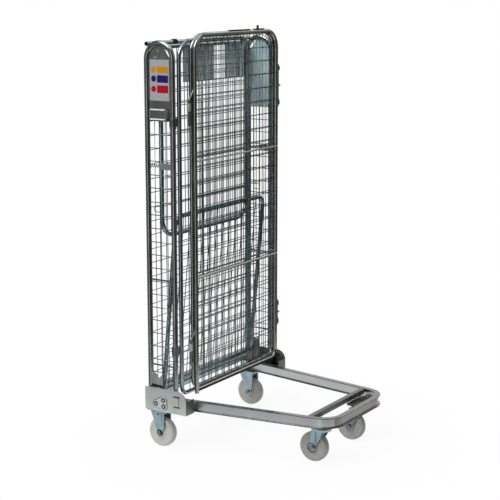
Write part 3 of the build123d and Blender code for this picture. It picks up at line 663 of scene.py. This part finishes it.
# Each end: X of the wheel and of the fork's outer face, Y, the washer's radii, painted fold shades
# and nylon
CASTORS = (
    ("rear", 0.340, 0.3656, 0.34625, 0.0104, 0.0138, REAR_FOLD_SHADES, lit_nylon),
    ("front", 0.157, 0.1820, -0.27975, 0.0166, 0.0196, FRONT_FOLD_SHADES, shaded_nylon),
)
CHEEKS = (("outer", 0.3632, 0.0024), ("inner", 0.3168, -0.0024))
for side, sign in SIDES:
    castor = f"front_castor_{side}"
    for end, x, _, y, _, _, _, finish in CASTORS:
        wheel = turned(f"{end}_tyre_{side}", (sign * x, y, WHEEL_R), wheel_profile, finish)
        finished(wheel, f"{end}_wheel_{side}", "nylon", f"{end}_wheel_{side}")
    for node, name, finish, slot, edge in (
        ("rear_fork", "fixed_fork", castor_finish, "castor_steel", 0.0012),
        ("rear_axle", "rear_axle_bolt", fixing_finish, "fixings", 0.001),
        ("castor_head", "swivel_head", head_shade_finish, "castor_steel", 0.0012),
        ("castor_seal", "swivel_seal", seal_finish, "seal", 0.001),
    ):
        softened(f"{node}_{side}", f"{name}_{side}", finish, slot, "chassis", edge)
    for name, face, wall in CHEEKS:
        cheek = plate(f"fork_{name}_{side}", FORK_CHEEK, sign * face, sign * wall, castor_finish)
        finished(cheek, "chassis", "castor_steel")
    for end, _, x, y, inner, outer, fold_shades, _ in CASTORS:
        body = "chassis" if end == "rear" else castor
        ring = (
            (0.0, inner), (0.0, outer), (0.0010, outer), (WASHER_WALL, outer - WASHER_EDGE),
            (WASHER_WALL, inner),
        )
        shape = [(sign * reach, radius) for reach, radius in ring]
        spot = (sign * x, y, WHEEL_R)
        washer = turned(f"{end}_washer_{side}", spot, shape, shade_finish, 32)
        finished(washer, body, "fixings")
        start, wall = sign * (x - FOLD_SHADE_DEPTH), sign * FOLD_SHADE_WALL
        # Dark strips on the fork as painted shade along its folds
        for number, (corners, finish) in enumerate(fold_shades):
            name = f"{end}_fold_{side}_{number}"
            fold_shade = plate(name, corners, start, wall, finish, 0.0002)
            finished(fold_shade, body, "castor_steel")
    finish = castor_finish if side == "left" else shaded_castor_finish
    softened(f"front_fork_{side}", f"swivel_fork_{side}", finish, "castor_steel", castor, 0.0012)
    softened(
        f"front_axle_{side}", f"front_axle_bolt_{side}", fixing_finish, "fixings", castor, 0.001
    )

# Wings: an arched tube each side, its feet in the corner brackets, with stop rings under the panel
# hinges, a flat strap, a notched foot guard and a welded wire net.


def round_outline(radius, sides=14):
    """A round tube's outline."""
    turn = 2 * pi / sides
    points = [(radius * cos(i * turn), radius * sin(i * turn)) for i in range(sides)]
    return points, [0.0] * sides


def straight(first, last):
    """A run between two points."""
    return [first, last], [0.0, 0.0]


wing_finish = plated(
    "wing tube zinc", (0.47, 0.49, 0.5), (0.28, 0.3, 0.31), (0.32, 0.27, 0.22), cloud=12.0,
    gloss=(0.1, 0.22),
)
sheet_finish = plated(
    "bluish sheet zinc", (0.68, 0.78, 0.84), (0.5, 0.58, 0.64), (0.34, 0.38, 0.36), stain=0.5,
    cloud=16.0, gloss=(0.26, 0.44),
)
wire_finish = plated(
    "net wire zinc", (0.29, 0.34, 0.34), (0.13, 0.16, 0.16), (0.18, 0.28, 0.29), stain=0.5,
    cloud=22.0, gloss=(0.16, 0.34),
)
pale_wire_finish = plated(
    "pale net wire zinc", (0.3, 0.33, 0.34), (0.16, 0.175, 0.18), (0.24, 0.27, 0.27), stain=0.5,
    cloud=22.0, gloss=(0.24, 0.44),
)
WING_R = 0.011
WING_X = 0.369
WING_REAR = 0.38325
WING_FRONT = 0.25725
WING_MID = 0.32025
WING_FOOT = 0.171
WING_CROWN = 1.673
WING_BEND = 0.0629
WING_SKIN = 0.371
STRAP_LOW, STRAP_HIGH = 1.172, 1.198
GUARD_LOW, GUARD_HIGH = 0.268, 0.324
STOP_LEVELS = (0.4047, 1.3377)
STOP_R, STOP_HEIGHT = 0.014, 0.008
CROSSING_LEVELS = (0.358, 0.7175)
CROSSING_R = 0.0036
SHEET_WALL = 0.003
GUARD_NOTCH = (0.0189, 0.0336)
SPRING_X, SPRING_R = 0.3727, 0.0016
ZIGZAG_Y, ZIGZAG_FOOT = 0.366, 1.176
ZIGZAG_PITCH, ZIGZAG_HEIGHT, ZIGZAG_BEND = 0.0058, 0.020, 0.0015
HOOK = ((0.318, 1.021), (0.353, 1.021), (0.353, 0.999), (0.322, 0.999))
HOOK_BEND = 0.0109
# Painted shade: a black plate over the bracket's open top, where the wing's foot goes in.
SOCKET_SHADE = ((WING_MID, 0.2640), (WING_REAR, 0.2640), (WING_REAR, 0.2745), (WING_MID, 0.2720))
SOCKET_SHADE_OUT, SOCKET_SHADE_WALL = 0.0026, 0.0008


def net_tree():
    """A welded net: upright and level wires, trimmed to the rounded corners of their frame."""
    tree, given, result = new_group(
        "welded net", "GeometryNodeTree",
        (
            ("Low", "Float"), ("High", "Float"), ("Bottom", "Float"), ("Top", "Float"),
            ("Foot Bend", "Float", 0.001), ("Top Bend", "Float", 0.001), ("Columns", "Int"),
            ("Rows", "Int"), ("Wire Radius", "Float", 0.00175), ("Level Side", "Float", -1.0),
            ("Unevenness", "Float", 0.0015), ("Shift", "Float"), ("Place", "Vector"),
            ("Turn", "Float"), ("Lean", "Float"), ("Seed", "Int"), ("Finish", "Material"),
        ),
        (("Geometry", "Geometry"),),
    )
    low, high, bottom, top, foot_bend, top_bend, columns, rows, radius = given.outputs[:9]
    level_side, uneven, shift, place, turn, lean, seed, finish = given.outputs[9:17]
    index = tree.nodes.new("GeometryNodeInputIndex").outputs[0]
    step = maths("ADD", index, 1.0)

    def inset(bend, past):
        """How far a rounded corner comes in at a distance past the start of its bend."""
        clear = maths("MAXIMUM", past, 0.0)
        square = maths("SUBTRACT", maths("POWER", bend, 2.0), maths("POWER", clear, 2.0))
        return maths("SUBTRACT", bend, maths("SQRT", maths("MAXIMUM", square, 0.0)))

    def wires(count, first, last, seed_step):
        """Evenly spaced places with a little unevenness, as a socket."""
        pitch = maths("DIVIDE", maths("SUBTRACT", last, first), count)
        even = maths("MULTIPLY_ADD", step, pitch, first)
        wander = add_node(
            tree, "FunctionNodeRandomValue",
            {2: -1.0, 3: 1.0, "ID": index, "Seed": maths("ADD", seed, seed_step)},
            data_type="FLOAT",
        ).outputs[1]
        return maths("MULTIPLY_ADD", wander, uneven, even)

    across = maths("ADD", wires(columns, low, high, 0.0), shift)

    def past_sides(bend):
        left = maths("SUBTRACT", maths("ADD", low, bend), across)
        right = maths("SUBTRACT", across, maths("SUBTRACT", high, bend))
        return maths("MAXIMUM", left, right)

    foot = maths("ADD", bottom, inset(foot_bend, past_sides(foot_bend)))
    head = maths("SUBTRACT", top, inset(top_bend, past_sides(top_bend)))
    height = wires(rows, bottom, top, 7.0)
    over = maths("SUBTRACT", height, maths("SUBTRACT", top, top_bend))
    under = maths("SUBTRACT", maths("ADD", bottom, foot_bend), height)
    trim = maths("MAXIMUM", inset(top_bend, over), inset(foot_bend, under))
    start = maths("ADD", low, trim)
    end = maths("SUBTRACT", high, trim)
    unit = {"Vertices": 6, "Radius": 1.0, "Depth": 1.0}
    wire = shaped(tree, "MeshCylinder", unit, fill_type="NGON")
    side = maths("MULTIPLY", radius, level_side)
    both = tree.nodes.new("GeometryNodeJoinGeometry")
    for count, from_, to, offset, level in (
        (columns, foot, head, maths("MULTIPLY", side, -1.0), False), (rows, start, end, side, True)
    ):
        middle = maths("MULTIPLY", maths("ADD", from_, to), 0.5)
        x, z = (middle, height) if level else (across, middle)
        centre = made(tree, "ShaderNodeCombineXYZ", {"X": x, "Y": offset, "Z": z})
        length = maths("SUBTRACT", to, from_)
        size = made(tree, "ShaderNodeCombineXYZ", {"X": radius, "Y": radius, "Z": length})
        points = shaped(
            tree, "Points", {"Count": maths("SUBTRACT", count, 1.0), "Position": centre}
        )
        way = {"Rotation": (0.0, pi / 2 if level else 0.0, 0.0), "Scale": size}
        laid = shaped(tree, "InstanceOnPoints", {"Points": points, "Instance": wire, **way})
        fill(both, {0: laid})
    angle = made(tree, "ShaderNodeCombineXYZ", {"X": lean, "Z": turn})
    spot = {"Translation": place, "Rotation": angle}
    moved = shaped(tree, "Transform", {"Geometry": both.outputs[0], **spot})
    real = shaped(tree, "RealizeInstances", {"Geometry": moved})
    smooth = shaped(tree, "SetShadeSmooth", {0: real, "Shade Smooth": True}, domain="FACE")
    done = shaped(tree, "SetMaterial", {"Geometry": smooth, "Material": finish})
    fill(result, {0: done})
    return tree


welded_net = net_tree()


def net(name, body, node, finish, **sizes):
    """One welded net from its named sizes, riding on a body for a node."""
    piece = grown(new_piece(name), welded_net, finish=finish, **sizes)
    return finished(piece, body, "wire", node)


for side, sign in SIDES:
    x = sign * WING_X
    arch = [
        (x, WING_REAR, WING_FOOT), (x, WING_REAR, WING_CROWN), (x, WING_FRONT, WING_CROWN),
        (x, WING_FRONT, WING_FOOT),
    ]
    tube = bent(
        f"wing_tube_{side}", [(arch, [0.0, WING_BEND, WING_BEND, 0.0])], round_outline(WING_R, 18),
        wing_finish, 20,
    )
    rings = [
        straight((x, WING_FRONT, level), (x, WING_FRONT, level + STOP_HEIGHT))
        for level in STOP_LEVELS
    ]
    stops = bent(f"wing_stops_{side}", rings, round_outline(STOP_R, 18), wing_finish)
    skin, wall = sign * WING_SKIN, sign * SHEET_WALL
    strap = plate(
        f"wing_strap_{side}", oblong(WING_FRONT, WING_MID, STRAP_LOW, STRAP_HIGH), skin, wall,
        sheet_finish,
    )
    guard = plate(
        f"wing_guard_{side}",
        [
            (WING_MID, GUARD_LOW), (WING_REAR, GUARD_LOW), (WING_REAR, GUARD_HIGH),
            (WING_MID + 2 * GUARD_NOTCH[0], GUARD_HIGH),
            (WING_MID + GUARD_NOTCH[0], GUARD_LOW + GUARD_NOTCH[1]), (WING_MID, GUARD_HIGH),
        ],
        skin, wall, sheet_finish,
    )
    crossings = bent(
        f"wing_crossings_{side}",
        [
            straight((x, WING_REAR - WING_R, level), (x, WING_FRONT + WING_R, level))
            for level in CROSSING_LEVELS
        ],
        round_outline(CROSSING_R, 10), wire_finish,
    )
    outside = sign * SPRING_X
    zigzag = [
        (outside, ZIGZAG_Y - ZIGZAG_PITCH * i, ZIGZAG_FOOT + ZIGZAG_HEIGHT * (i % 2))
        for i in range(9)
    ]
    spring = bent(
        f"wing_spring_{side}",
        [
            (zigzag, [0.0] + [ZIGZAG_BEND] * 7 + [0.0]),
            ([(outside, y, z) for y, z in HOOK], [0.0, HOOK_BEND, HOOK_BEND, 0.0]),
        ],
        round_outline(SPRING_R, 8), wire_finish, 6,
    )
    # The black plate of painted shade at the bracket's mouth
    mouth_shade = plate(
        f"socket_mouth_{side}", SOCKET_SHADE, skin + sign * SOCKET_SHADE_OUT, sign * SOCKET_SHADE_WALL, shade_finish,
        0.0001,
    )
    whole = joined(f"wing_{side}", [tube, stops, strap, guard, mouth_shade, crossings, spring])
    finished(whole, "chassis", "wing_tube", f"wing_frame_{side}")
    net(
        f"wing_mesh_{side}", "chassis", f"wing_net_{side}", wire_finish, low=WING_FRONT + WING_R,
        high=WING_REAR - WING_R, bottom=0.272, top=1.366, columns=4, rows=20, place=(x, 0.0, 0.0),
        turn=pi / 2, seed=11,
    )

# Sign plates: one pressed sheet each, with an embossed ring in the crown and a paper pocket folded
# up along the foot. A colour-coded card is stuck on each, with nothing on it but plain fields.
dark_sheet_finish = plated(
    "dark sheet zinc", (0.37, 0.42, 0.375), (0.22, 0.255, 0.225), (0.30, 0.28, 0.22), stain=0.5,
    cloud=20.0, gloss=(0.28, 0.46),
)
# Colour fields as foot, top and ink, all between two places across; a dot stands beside each
CARD_FIELDS = (
    (1.5550, 1.5810, (0.72, 0.33, 0.0, 1.0)),
    (1.5180, 1.5475, (0.012, 0.010, 0.15, 1.0)),
    (1.4770, 1.5075, (0.52, 0.004, 0.012, 1.0)),
)
FIELD_LOW, FIELD_HIGH = 0.2775, 0.3320
DOT_Y, DOT_R = 0.3485, 0.0122


def card_stock():
    """Pale laminated card with three plain colour fields and dots, slightly faded and scuffed."""
    material, tree, shader = new_material("plain card")
    place = on_piece(tree)
    split = add_node(tree, "ShaderNodeSeparateXYZ", {"Vector": place}).outputs
    fade = noise(place, 55.0, Detail=4.0)
    colour = mix_colours(fade, (0.46, 0.455, 0.51, 1.0), (0.55, 0.545, 0.60, 1.0))

    def between(value, low, high):
        above = maths("GREATER_THAN", value, low)
        return maths("MULTIPLY", above, maths("LESS_THAN", value, high))

    across = between(split[1], FIELD_LOW, FIELD_HIGH)
    for low, high, ink in CARD_FIELDS:
        field = maths("MULTIPLY", between(split[2], low, high), across)
        aside = maths("SUBTRACT", split[1], DOT_Y)
        above = maths("SUBTRACT", split[2], (low + high) / 2)
        reach = maths("ADD", maths("POWER", aside, 2.0), maths("POWER", above, 2.0))
        field = maths("MAXIMUM", field, maths("LESS_THAN", reach, DOT_R**2))
        share = maths("MULTIPLY", field, maths("MULTIPLY_ADD", fade, 0.03, 0.97))
        colour = mix_colours(share, colour, ink)
    rough = maths("MULTIPLY_ADD", fade, 0.25, 0.45)
    fill(shader, {"Base Color": colour, "Roughness": rough, "Specular IOR Level": 0.12})
    return material


card_finish = card_stock()
# Painted reflection and light: the right plate is near-white blue, as its inner face shows blue
# surroundings and the lamp.
painted_reflection_sheet_finish = plated(
    "sheet zinc with painted blue reflection", (0.924, 0.95, 0.95), (0.726, 0.946, 0.95), (0.32, 0.56, 0.74), stain=0.6,
    cloud=20.0, gloss=(0.44, 0.66), metallic=0.1,
)
POCKET_LIP = oblong(0.2805, 0.3600, 1.3710, 1.4150)
LIP_X, LIP_R, LIP_BEND = 0.3840, 0.0021, 0.004
# Slanted rims along the pocket's top and bottom; their pale bracket zinc, brighter than the sheet,
# is a painted highlight.
POCKET_RIMS = ((1.3715, 1.3770), (1.4095, 1.4165))
RIM_ENDS = (0.2850, 0.3560)
RIM_INNER, RIM_OUTER, RIM_LEAN = 0.3836, 0.3880, 0.0008
CARD_TAIL = oblong(0.2733, 0.3672, 1.4465, 1.4555)
TAIL_X, TAIL_WALL = 0.3700, 0.0009
for side, sign in SIDES:
    # The right plate takes the painted reflection and light
    finish = dark_sheet_finish if side == "left" else painted_reflection_sheet_finish
    softened(f"sign_plate_{side}", f"crown_plate_{side}", finish, "sheet", "chassis", 0.0006)
    rolled = bent(
        f"pocket_lip_{side}", [([(sign * LIP_X, y, z) for y, z in POCKET_LIP], [LIP_BEND] * 4)],
        round_outline(LIP_R, 10), sheet_finish, 4, closed=True,
    )
    finished(rolled, "chassis", "sheet")
    softened(f"label_card_{side}", f"card_{side}", card_finish, "card", "chassis", 0.0002)
    start, wall = sign * TAIL_X, sign * TAIL_WALL
    tail = plate(f"card_tail_{side}", CARD_TAIL, start, wall, card_finish, 0.0001)
    finished(tail, "chassis", "card")
    for number, (low, high) in enumerate(POCKET_RIMS):
        section = ((RIM_INNER, low), (RIM_OUTER, low + RIM_LEAN), (RIM_INNER, high))
        rim = new_piece(
            f"pocket_rim_{side}_{number}", [(sign * x, y, z) for y in RIM_ENDS for x, z in section],
            faces=[(0, 1, 2), (5, 4, 3), (0, 3, 4, 1), (1, 4, 5, 2), (2, 5, 3, 0)],
            finish=bracket_finish,
        )
        if side == "left":
            rim.data.flip_normals()
        finished(rim, "chassis", "sheet")

# Back: a cross tube over the shoulders of the arches, a welded net between the rear tubes and two
# plain sheet plates on its inner face.
softened("top_cross_tube", "cross_tube", wing_finish, "wing_tube", "chassis", 0.0005)
plate_finish = plated(
    "grey plate zinc", (0.87, 0.905, 0.89), (0.71, 0.745, 0.73), (0.56, 0.59, 0.56), cloud=9.0,
    gloss=(0.34, 0.5),
)
softened("back_plates", "back_sheets", plate_finish, "sheet", "chassis", 0.0004)
net(
    "back_mesh", "chassis", "back_net", pale_wire_finish, low=WING_R - WING_X, high=WING_X - WING_R,
    bottom=0.258, top=1.650, columns=14, rows=24, place=(0.0, WING_REAR, 0.0), level_side=1.0,
    shift=0.012, seed=21,
)

# Lid, deck and side panels: bent tube frames with welded nets, hung or hinged on the wings and
# folded flat, one behind the other.
panel_finish = plated(
    "panel tube zinc", (0.42, 0.49, 0.5), (0.22, 0.275, 0.29), (0.22, 0.32, 0.33), stain=0.5,
    cloud=12.0, gloss=(0.1, 0.24),
)
hardware_finish = plated(
    "hinge and latch zinc", (0.33, 0.36, 0.35), (0.16, 0.18, 0.175), (0.24, 0.22, 0.16), stain=0.5,
    cloud=40.0, gloss=(0.24, 0.44),
)
PANEL_R = 0.009
panel_outline = round_outline(PANEL_R, 16)


def closed_frame(name, y, low, high, bottom, top, foot_bend, top_bend, finish):
    """A closed frame of bent panel tube in an upright plane."""
    corners = [(x, y, z) for x, z in oblong(low, high, bottom, top)]
    bends = [foot_bend, foot_bend, top_bend, top_bend]
    return bent(name, [(corners, bends)], panel_outline, finish, 14, closed=True)


def panel_net(name, body, node, sizes, columns, rows, seed, finish, side=1.0, shift=0.0):
    """The net of a tube frame, its wires welded to the inside of the tube."""
    y, low, high, bottom, top, foot_bend, top_bend = sizes
    return net(
        name, body, node, finish, low=low + PANEL_R, high=high - PANEL_R, bottom=bottom + PANEL_R,
        top=top - PANEL_R, foot_bend=foot_bend - PANEL_R, top_bend=top_bend - PANEL_R,
        columns=columns, rows=rows, level_side=side, shift=shift, place=(0.0, y, 0.0), seed=seed,
    )


# Frames as Y, low and high X, foot and top, bends at the foot and at the top
LID = (0.35525, -0.315, 0.315, 0.885, 1.655, 0.075, 0.040)
finished(closed_frame("lid_tube", *LID, panel_finish), "lid", "panel_tube", "lid_frame")
panel_net("lid_mesh", "lid", "lid_net", LID, 12, 13, 31, pale_wire_finish)
softened("lid_hooks", "lid_hanger_hooks", shade_finish, "hardware", "lid")

DECK_LOW, DECK_HIGH = -0.341, 0.321
DECK_HEAD = (0.26825, 0.979)
DECK_FOOT = (0.33825, 0.245)
deck_lean, deck_rise = DECK_FOOT[0] - DECK_HEAD[0], DECK_HEAD[1] - DECK_FOOT[1]
DECK_BEND = 0.045
PIN_HALF, PIN_R = 0.357, 0.005
deck_hoop = bent(
    "deck_hoop",
    [
        (
            [
                (DECK_LOW, *DECK_FOOT), (DECK_LOW, *DECK_HEAD), (DECK_HIGH, *DECK_HEAD),
                (DECK_HIGH, *DECK_FOOT),
            ],
            [0.0, DECK_BEND, DECK_BEND, 0.0],
        ),
        straight((DECK_LOW - PANEL_R, *DECK_FOOT), (DECK_HIGH + PANEL_R, *DECK_FOOT)),
    ],
    panel_outline, panel_finish, 12,
)
deck_pin = bent(
    "deck_pin", [straight((-PIN_HALF, *DECK_FOOT), (PIN_HALF, *DECK_FOOT))],
    round_outline(PIN_R, 12), panel_finish,
)
finished(joined("deck_tube", [deck_hoop, deck_pin]), "deck", "panel_tube", "deck_frame")
net(
    "deck_mesh", "deck", "deck_net", pale_wire_finish, low=DECK_LOW + PANEL_R,
    high=DECK_HIGH - PANEL_R, bottom=0.016, top=hypot(deck_rise, deck_lean) - PANEL_R,
    top_bend=DECK_BEND - PANEL_R, columns=13, rows=12, place=(0.0, *DECK_FOOT),
    lean=atan2(deck_lean, deck_rise), seed=41,
)

LEFT = (0.24825, -0.339, 0.173, 0.239, 1.680, 0.035, 0.075)
left_frame = closed_frame("left_panel_tube", *LEFT, panel_finish)
finished(left_frame, "left_side", "panel_tube", "left_side_frame")
panel_net(
    "left_panel_mesh", "left_side", "left_side_net", LEFT, 10, 25, 51, wire_finish, 1.0, -0.004
)
softened("left_side_hinges", "left_collars", hardware_finish, "hardware", "left_side", 0.001)

BAR_INSET, BAR_R = 0.006, 0.004
bar_outline = round_outline(BAR_R, 10)


def level_bars(name, sizes, levels, finish):
    """Thin level bars welded across the front of a tube frame."""
    y, low, high = sizes[:3]
    runs = [straight((low, y - BAR_INSET, z), (high, y - BAR_INSET, z)) for z in levels]
    return bent(name, runs, bar_outline, finish)


RIGHT = (0.22825, -0.285, 0.333, 0.258, 1.700, 0.035, 0.075)
RIGHT_BAR_LEVELS = (0.739, 1.216)
right_frame = closed_frame("right_panel_frame", *RIGHT, panel_finish)
right_bars = level_bars("right_panel_bars", RIGHT, RIGHT_BAR_LEVELS, panel_finish)
right_tubes = joined("right_panel_tube", [right_frame, right_bars])
finished(right_tubes, "right_side", "panel_tube", "right_side_frame")
panel_net("right_panel_mesh", "right_side", "right_side_net", RIGHT, 12, 25, 61, wire_finish)
softened("right_side_hinges", "right_collars", hardware_finish, "hardware", "right_side", 0.001)
eye_finish = plated(
    "silver hinge zinc", (0.78, 0.79, 0.80), (0.54, 0.55, 0.57), (0.46, 0.42, 0.28), stain=0.6,
    cloud=30.0, gloss=(0.3, 0.5), metallic=0.5,
)
softened("gate_hinge_eyes", "gate_eyes", eye_finish, "hardware", "right_side", 0.001)
softened("deck_latch", "deck_catch", hardware_finish, "hardware", "right_side")

# Gate: a bent tube frame with a close net and two level stiffeners, hung on bent pins, with two
# sliding bolts on its right edge and a catch on its top rail. Its plating has yellowed a little.
gate_finish = plated(
    "yellowed gate zinc", (0.5, 0.5, 0.46), (0.3, 0.31, 0.285), (0.4, 0.34, 0.22), cloud=10.0,
    gloss=(0.1, 0.24),
)
GATE = (0.20825, -0.288, 0.327, 0.252, 1.704, 0.035, 0.075)
GATE_Y, GATE_LOW, GATE_HIGH, GATE_FOOT, GATE_TOP, FOOT_BEND, TOP_BEND = GATE
GATE_TAIL = 0.015
SHADE_TOP, SHADE_LEFT = GATE_FOOT + 0.02, GATE_LOW + 0.01
STIFFENER_LEVELS = (0.727, 1.204)
gate_tube = bent(
    "gate_bow",
    [
        (
            [
                (GATE_LOW, GATE_Y, GATE_FOOT - GATE_TAIL), (GATE_LOW, GATE_Y, GATE_TOP),
                (GATE_HIGH, GATE_Y, GATE_TOP), (GATE_HIGH, GATE_Y, GATE_FOOT),
                (GATE_LOW, GATE_Y, GATE_FOOT),
            ],
            [0.0, TOP_BEND, TOP_BEND, FOOT_BEND, 0.0],
        )
    ],
    panel_outline, gate_finish, 14,
)
underside_finish = plated(
    "shaded gate zinc", (0.06, 0.055, 0.045), (0.03, 0.03, 0.025), (0.05, 0.04, 0.03), cloud=10.0,
    gloss=(0.6, 0.8), metallic=0.0, specular=0.0,
)
refaced(
    gate_tube, underside_finish,
    lambda f: f.normal.z < 0.3 and f.center.z < SHADE_TOP and f.center.x > SHADE_LEFT,
)
bar_finish = plated(
    "pale gate bar zinc", (0.80, 0.82, 0.76), (0.58, 0.62, 0.58), (0.66, 0.60, 0.48), stain=0.5,
    cloud=16.0, gloss=(0.26, 0.44),
)
stiffeners = level_bars("gate_stiffeners", GATE, STIFFENER_LEVELS, bar_finish)
finished(joined("gate_tubes", [gate_tube, stiffeners]), "gate", "gate_tube", "gate_frame")
panel_net("gate_mesh", "gate", "gate_net", GATE, 12, 25, 71, wire_finish, -1.0)
HINGE_X, HINGE_Y = -0.315, 0.21825
HINGE_LEVELS = (0.437, 1.420)
HINGE_FOOT, HINGE_ELBOW, HINGE_HEAD, HINGE_BEND = -0.075, 0.028, 0.078, 0.014
pins = bent(
    "gate_pins",
    [
        (
            [
                (HINGE_X, HINGE_Y, level + HINGE_FOOT),
                (HINGE_X, HINGE_Y, level + HINGE_ELBOW),
                (GATE_LOW, GATE_Y, level + HINGE_HEAD),
            ],
            [0.0, HINGE_BEND, 0.0],
        )
        for level in HINGE_LEVELS
    ],
    bar_outline, hardware_finish,
)
finished(pins, "gate", "hardware", "gate_hinge_pins")
softened("gate_bolt_sleeves", "bolt_sleeves", hardware_finish, "hardware", "gate")
for level in ("lower", "upper"):
    softened(
        f"gate_bolt_{level}", f"{level}_bolt", hardware_finish, "hardware", f"gate_bolt_{level}"
    )
catch_finish = plated(
    "black catch", (0.10, 0.10, 0.09), (0.04, 0.04, 0.04), (0.12, 0.10, 0.07), cloud=40.0,
    gloss=(0.3, 0.5),
)
softened("gate_top_catch", "top_catch", catch_finish, "hardware", "gate")

# Stage: a plain pale floor that keeps a soft shadow, and a white studio with a bright panel on the
# left, one above, one on the right, a weak one in front and three upright strips. A backdrop
# behind it on the right shows only in reflections.
FLOOR_R = 1.1
FLOOR_WHITE = 0.92
SHADOW_R = 0.6


def ray_kinds(tree):
    """Whether a ray comes straight from the camera, and whether by a mirror or through glass."""
    ray = tree.nodes.new("ShaderNodeLightPath").outputs
    return ray["Is Camera Ray"], maths("MAXIMUM", ray["Is Glossy Ray"], ray["Is Transmission Ray"])


def vectors(operation, first, second=(0.0, 0.0, 0.0)):
    """One sum of directions, as the outputs of its node."""
    inputs = {0: first, 1: second}
    return add_node(first.id_data, "ShaderNodeVectorMath", inputs, operation=operation).outputs


turns = [radians(a) for a in range(0, 360, 5)]
floor_ring = [(FLOOR_R * cos(a), FLOOR_R * sin(a), 0.0) for a in turns]
pale, tree, shader = new_material("pale floor")
tree.nodes.remove(shader)
floor = new_piece("floor", floor_ring, faces=[tuple(range(len(turns)))], finish=pale)
seen = maths("MAXIMUM", *ray_kinds(tree))
reach = vectors("LENGTH", on_piece(tree))["Value"]
white = made(
    tree, "ShaderNodeMapRange",
    {
        "Value": reach, "From Min": SHADOW_R, "From Max": FLOOR_R, "To Min": FLOOR_WHITE,
        "To Max": 1.0,
    },
    interpolation_type="SMOOTHSTEP",
)
matt = made(tree, "ShaderNodeBsdfDiffuse", {"Color": (0.86, 0.86, 0.86, 1.0)})
glow = made(tree, "ShaderNodeEmission", {"Color": (1.0, 1.0, 1.0, 1.0), "Strength": 1.0})
shares = {0: maths("MULTIPLY", seen, white), 1: matt, 2: glow}
blend = made(tree, "ShaderNodeMixShader", shares)
fill(tree.nodes["Material Output"], {"Surface": blend})

world = bpy.data.worlds.new("studio")
bpy.context.scene.world = world
world.use_nodes = True
tree = world.node_tree
way = tree.nodes.new("ShaderNodeTexCoord").outputs["Generated"]


def toward(vector, azimuth, elevation=0.0):
    """How nearly a vector points one way; azimuth runs from the front towards the right."""
    turn, flat = radians(azimuth), cos(radians(elevation))
    direction = (flat * sin(turn), -flat * cos(turn), sin(radians(elevation)))
    return vectors("DOT_PRODUCT", vector, direction)["Value"]


def panel(azimuth, elevation, edge, core, strength):
    """A soft light panel round one direction, as brightness over the sky; edge and core are its
    half widths in degrees."""
    limits = [cos(radians(angle)) for angle in (edge, core)]
    near = toward(way, azimuth, elevation)
    return ranged(near, *limits, strength, interpolation_type="SMOOTHSTEP")


level = add_node(tree, "ShaderNodeSeparateXYZ", {"Vector": way}).outputs[2]
flat_way = vectors("MULTIPLY", way, (1.0, 1.0, 0.0))[0]
heading = vectors("NORMALIZE", flat_way)[0]
STRIP_LOW, STRIP_HIGH, STRIP_SOFT = -40.0, 25.0, 6.0


def strip(azimuth, half, soft, strength):
    """An upright strip light: half its width and its soft edge, in degrees."""
    lit = strength
    for value, start, end in (
        (toward(heading, azimuth), cos(radians(half + soft)), cos(radians(half))),
        (level, sin(radians(STRIP_LOW - STRIP_SOFT)), sin(radians(STRIP_LOW + STRIP_SOFT))),
        (level, sin(radians(STRIP_HIGH + STRIP_SOFT)), sin(radians(STRIP_HIGH - STRIP_SOFT))),
    ):
        share = ranged(value, start, end, interpolation_type="SMOOTHSTEP")
        lit = maths("MULTIPLY", share, lit)
    return lit


STUDIO_DIM = 0.05
BACKDROP = (122.7, 0.0, 21.0, 17.0, 1.0)
light = STUDIO_DIM
for sizes in (
    (-105.0, 50.0, 24.0, 13.0, 5.6), (0.0, 90.0, 50.0, 25.0, 1.2), (20.0, 22.0, 24.0, 12.0, 0.25),
    (84.0, 30.0, 22.0, 12.0, 1.4),
):
    light = maths("ADD", light, panel(*sizes))
for sizes in ((-78.0, 5.0, 4.0, 1.4), (-140.0, 12.0, 12.0, 0.28), (48.0, 12.0, 12.0, 0.2)):
    light = maths("ADD", light, strip(*sizes))
direct, mirrored = ray_kinds(tree)
backdrop = maths("MULTIPLY", panel(*BACKDROP), mirrored)
seen = maths("MAXIMUM", direct, backdrop)
clear = maths("MULTIPLY_ADD", maths("SUBTRACT", 1.0, light), seen, light)
fill(tree.nodes["Background"], {"Color": (1.0, 1.0, 1.0, 1.0), "Strength": clear})

# Camera: the photograph's view from the front left, a little above the middle.
camera_data = bpy.data.cameras.new("view")
camera_data.sensor_fit = "HORIZONTAL"
camera_data.sensor_width = 36.0
camera_data.lens = 97.12
camera = bpy.data.objects.new("view", camera_data)
camera.location = (-4.6870, -2.8742, 1.9095)
camera.rotation_euler = (radians(90.0 - 11.25), 0.0, radians(-57.32))
bpy.context.scene.collection.objects.link(camera)
bpy.context.scene.camera = camera
bpy.context.scene.view_settings.view_transform = "Standard"
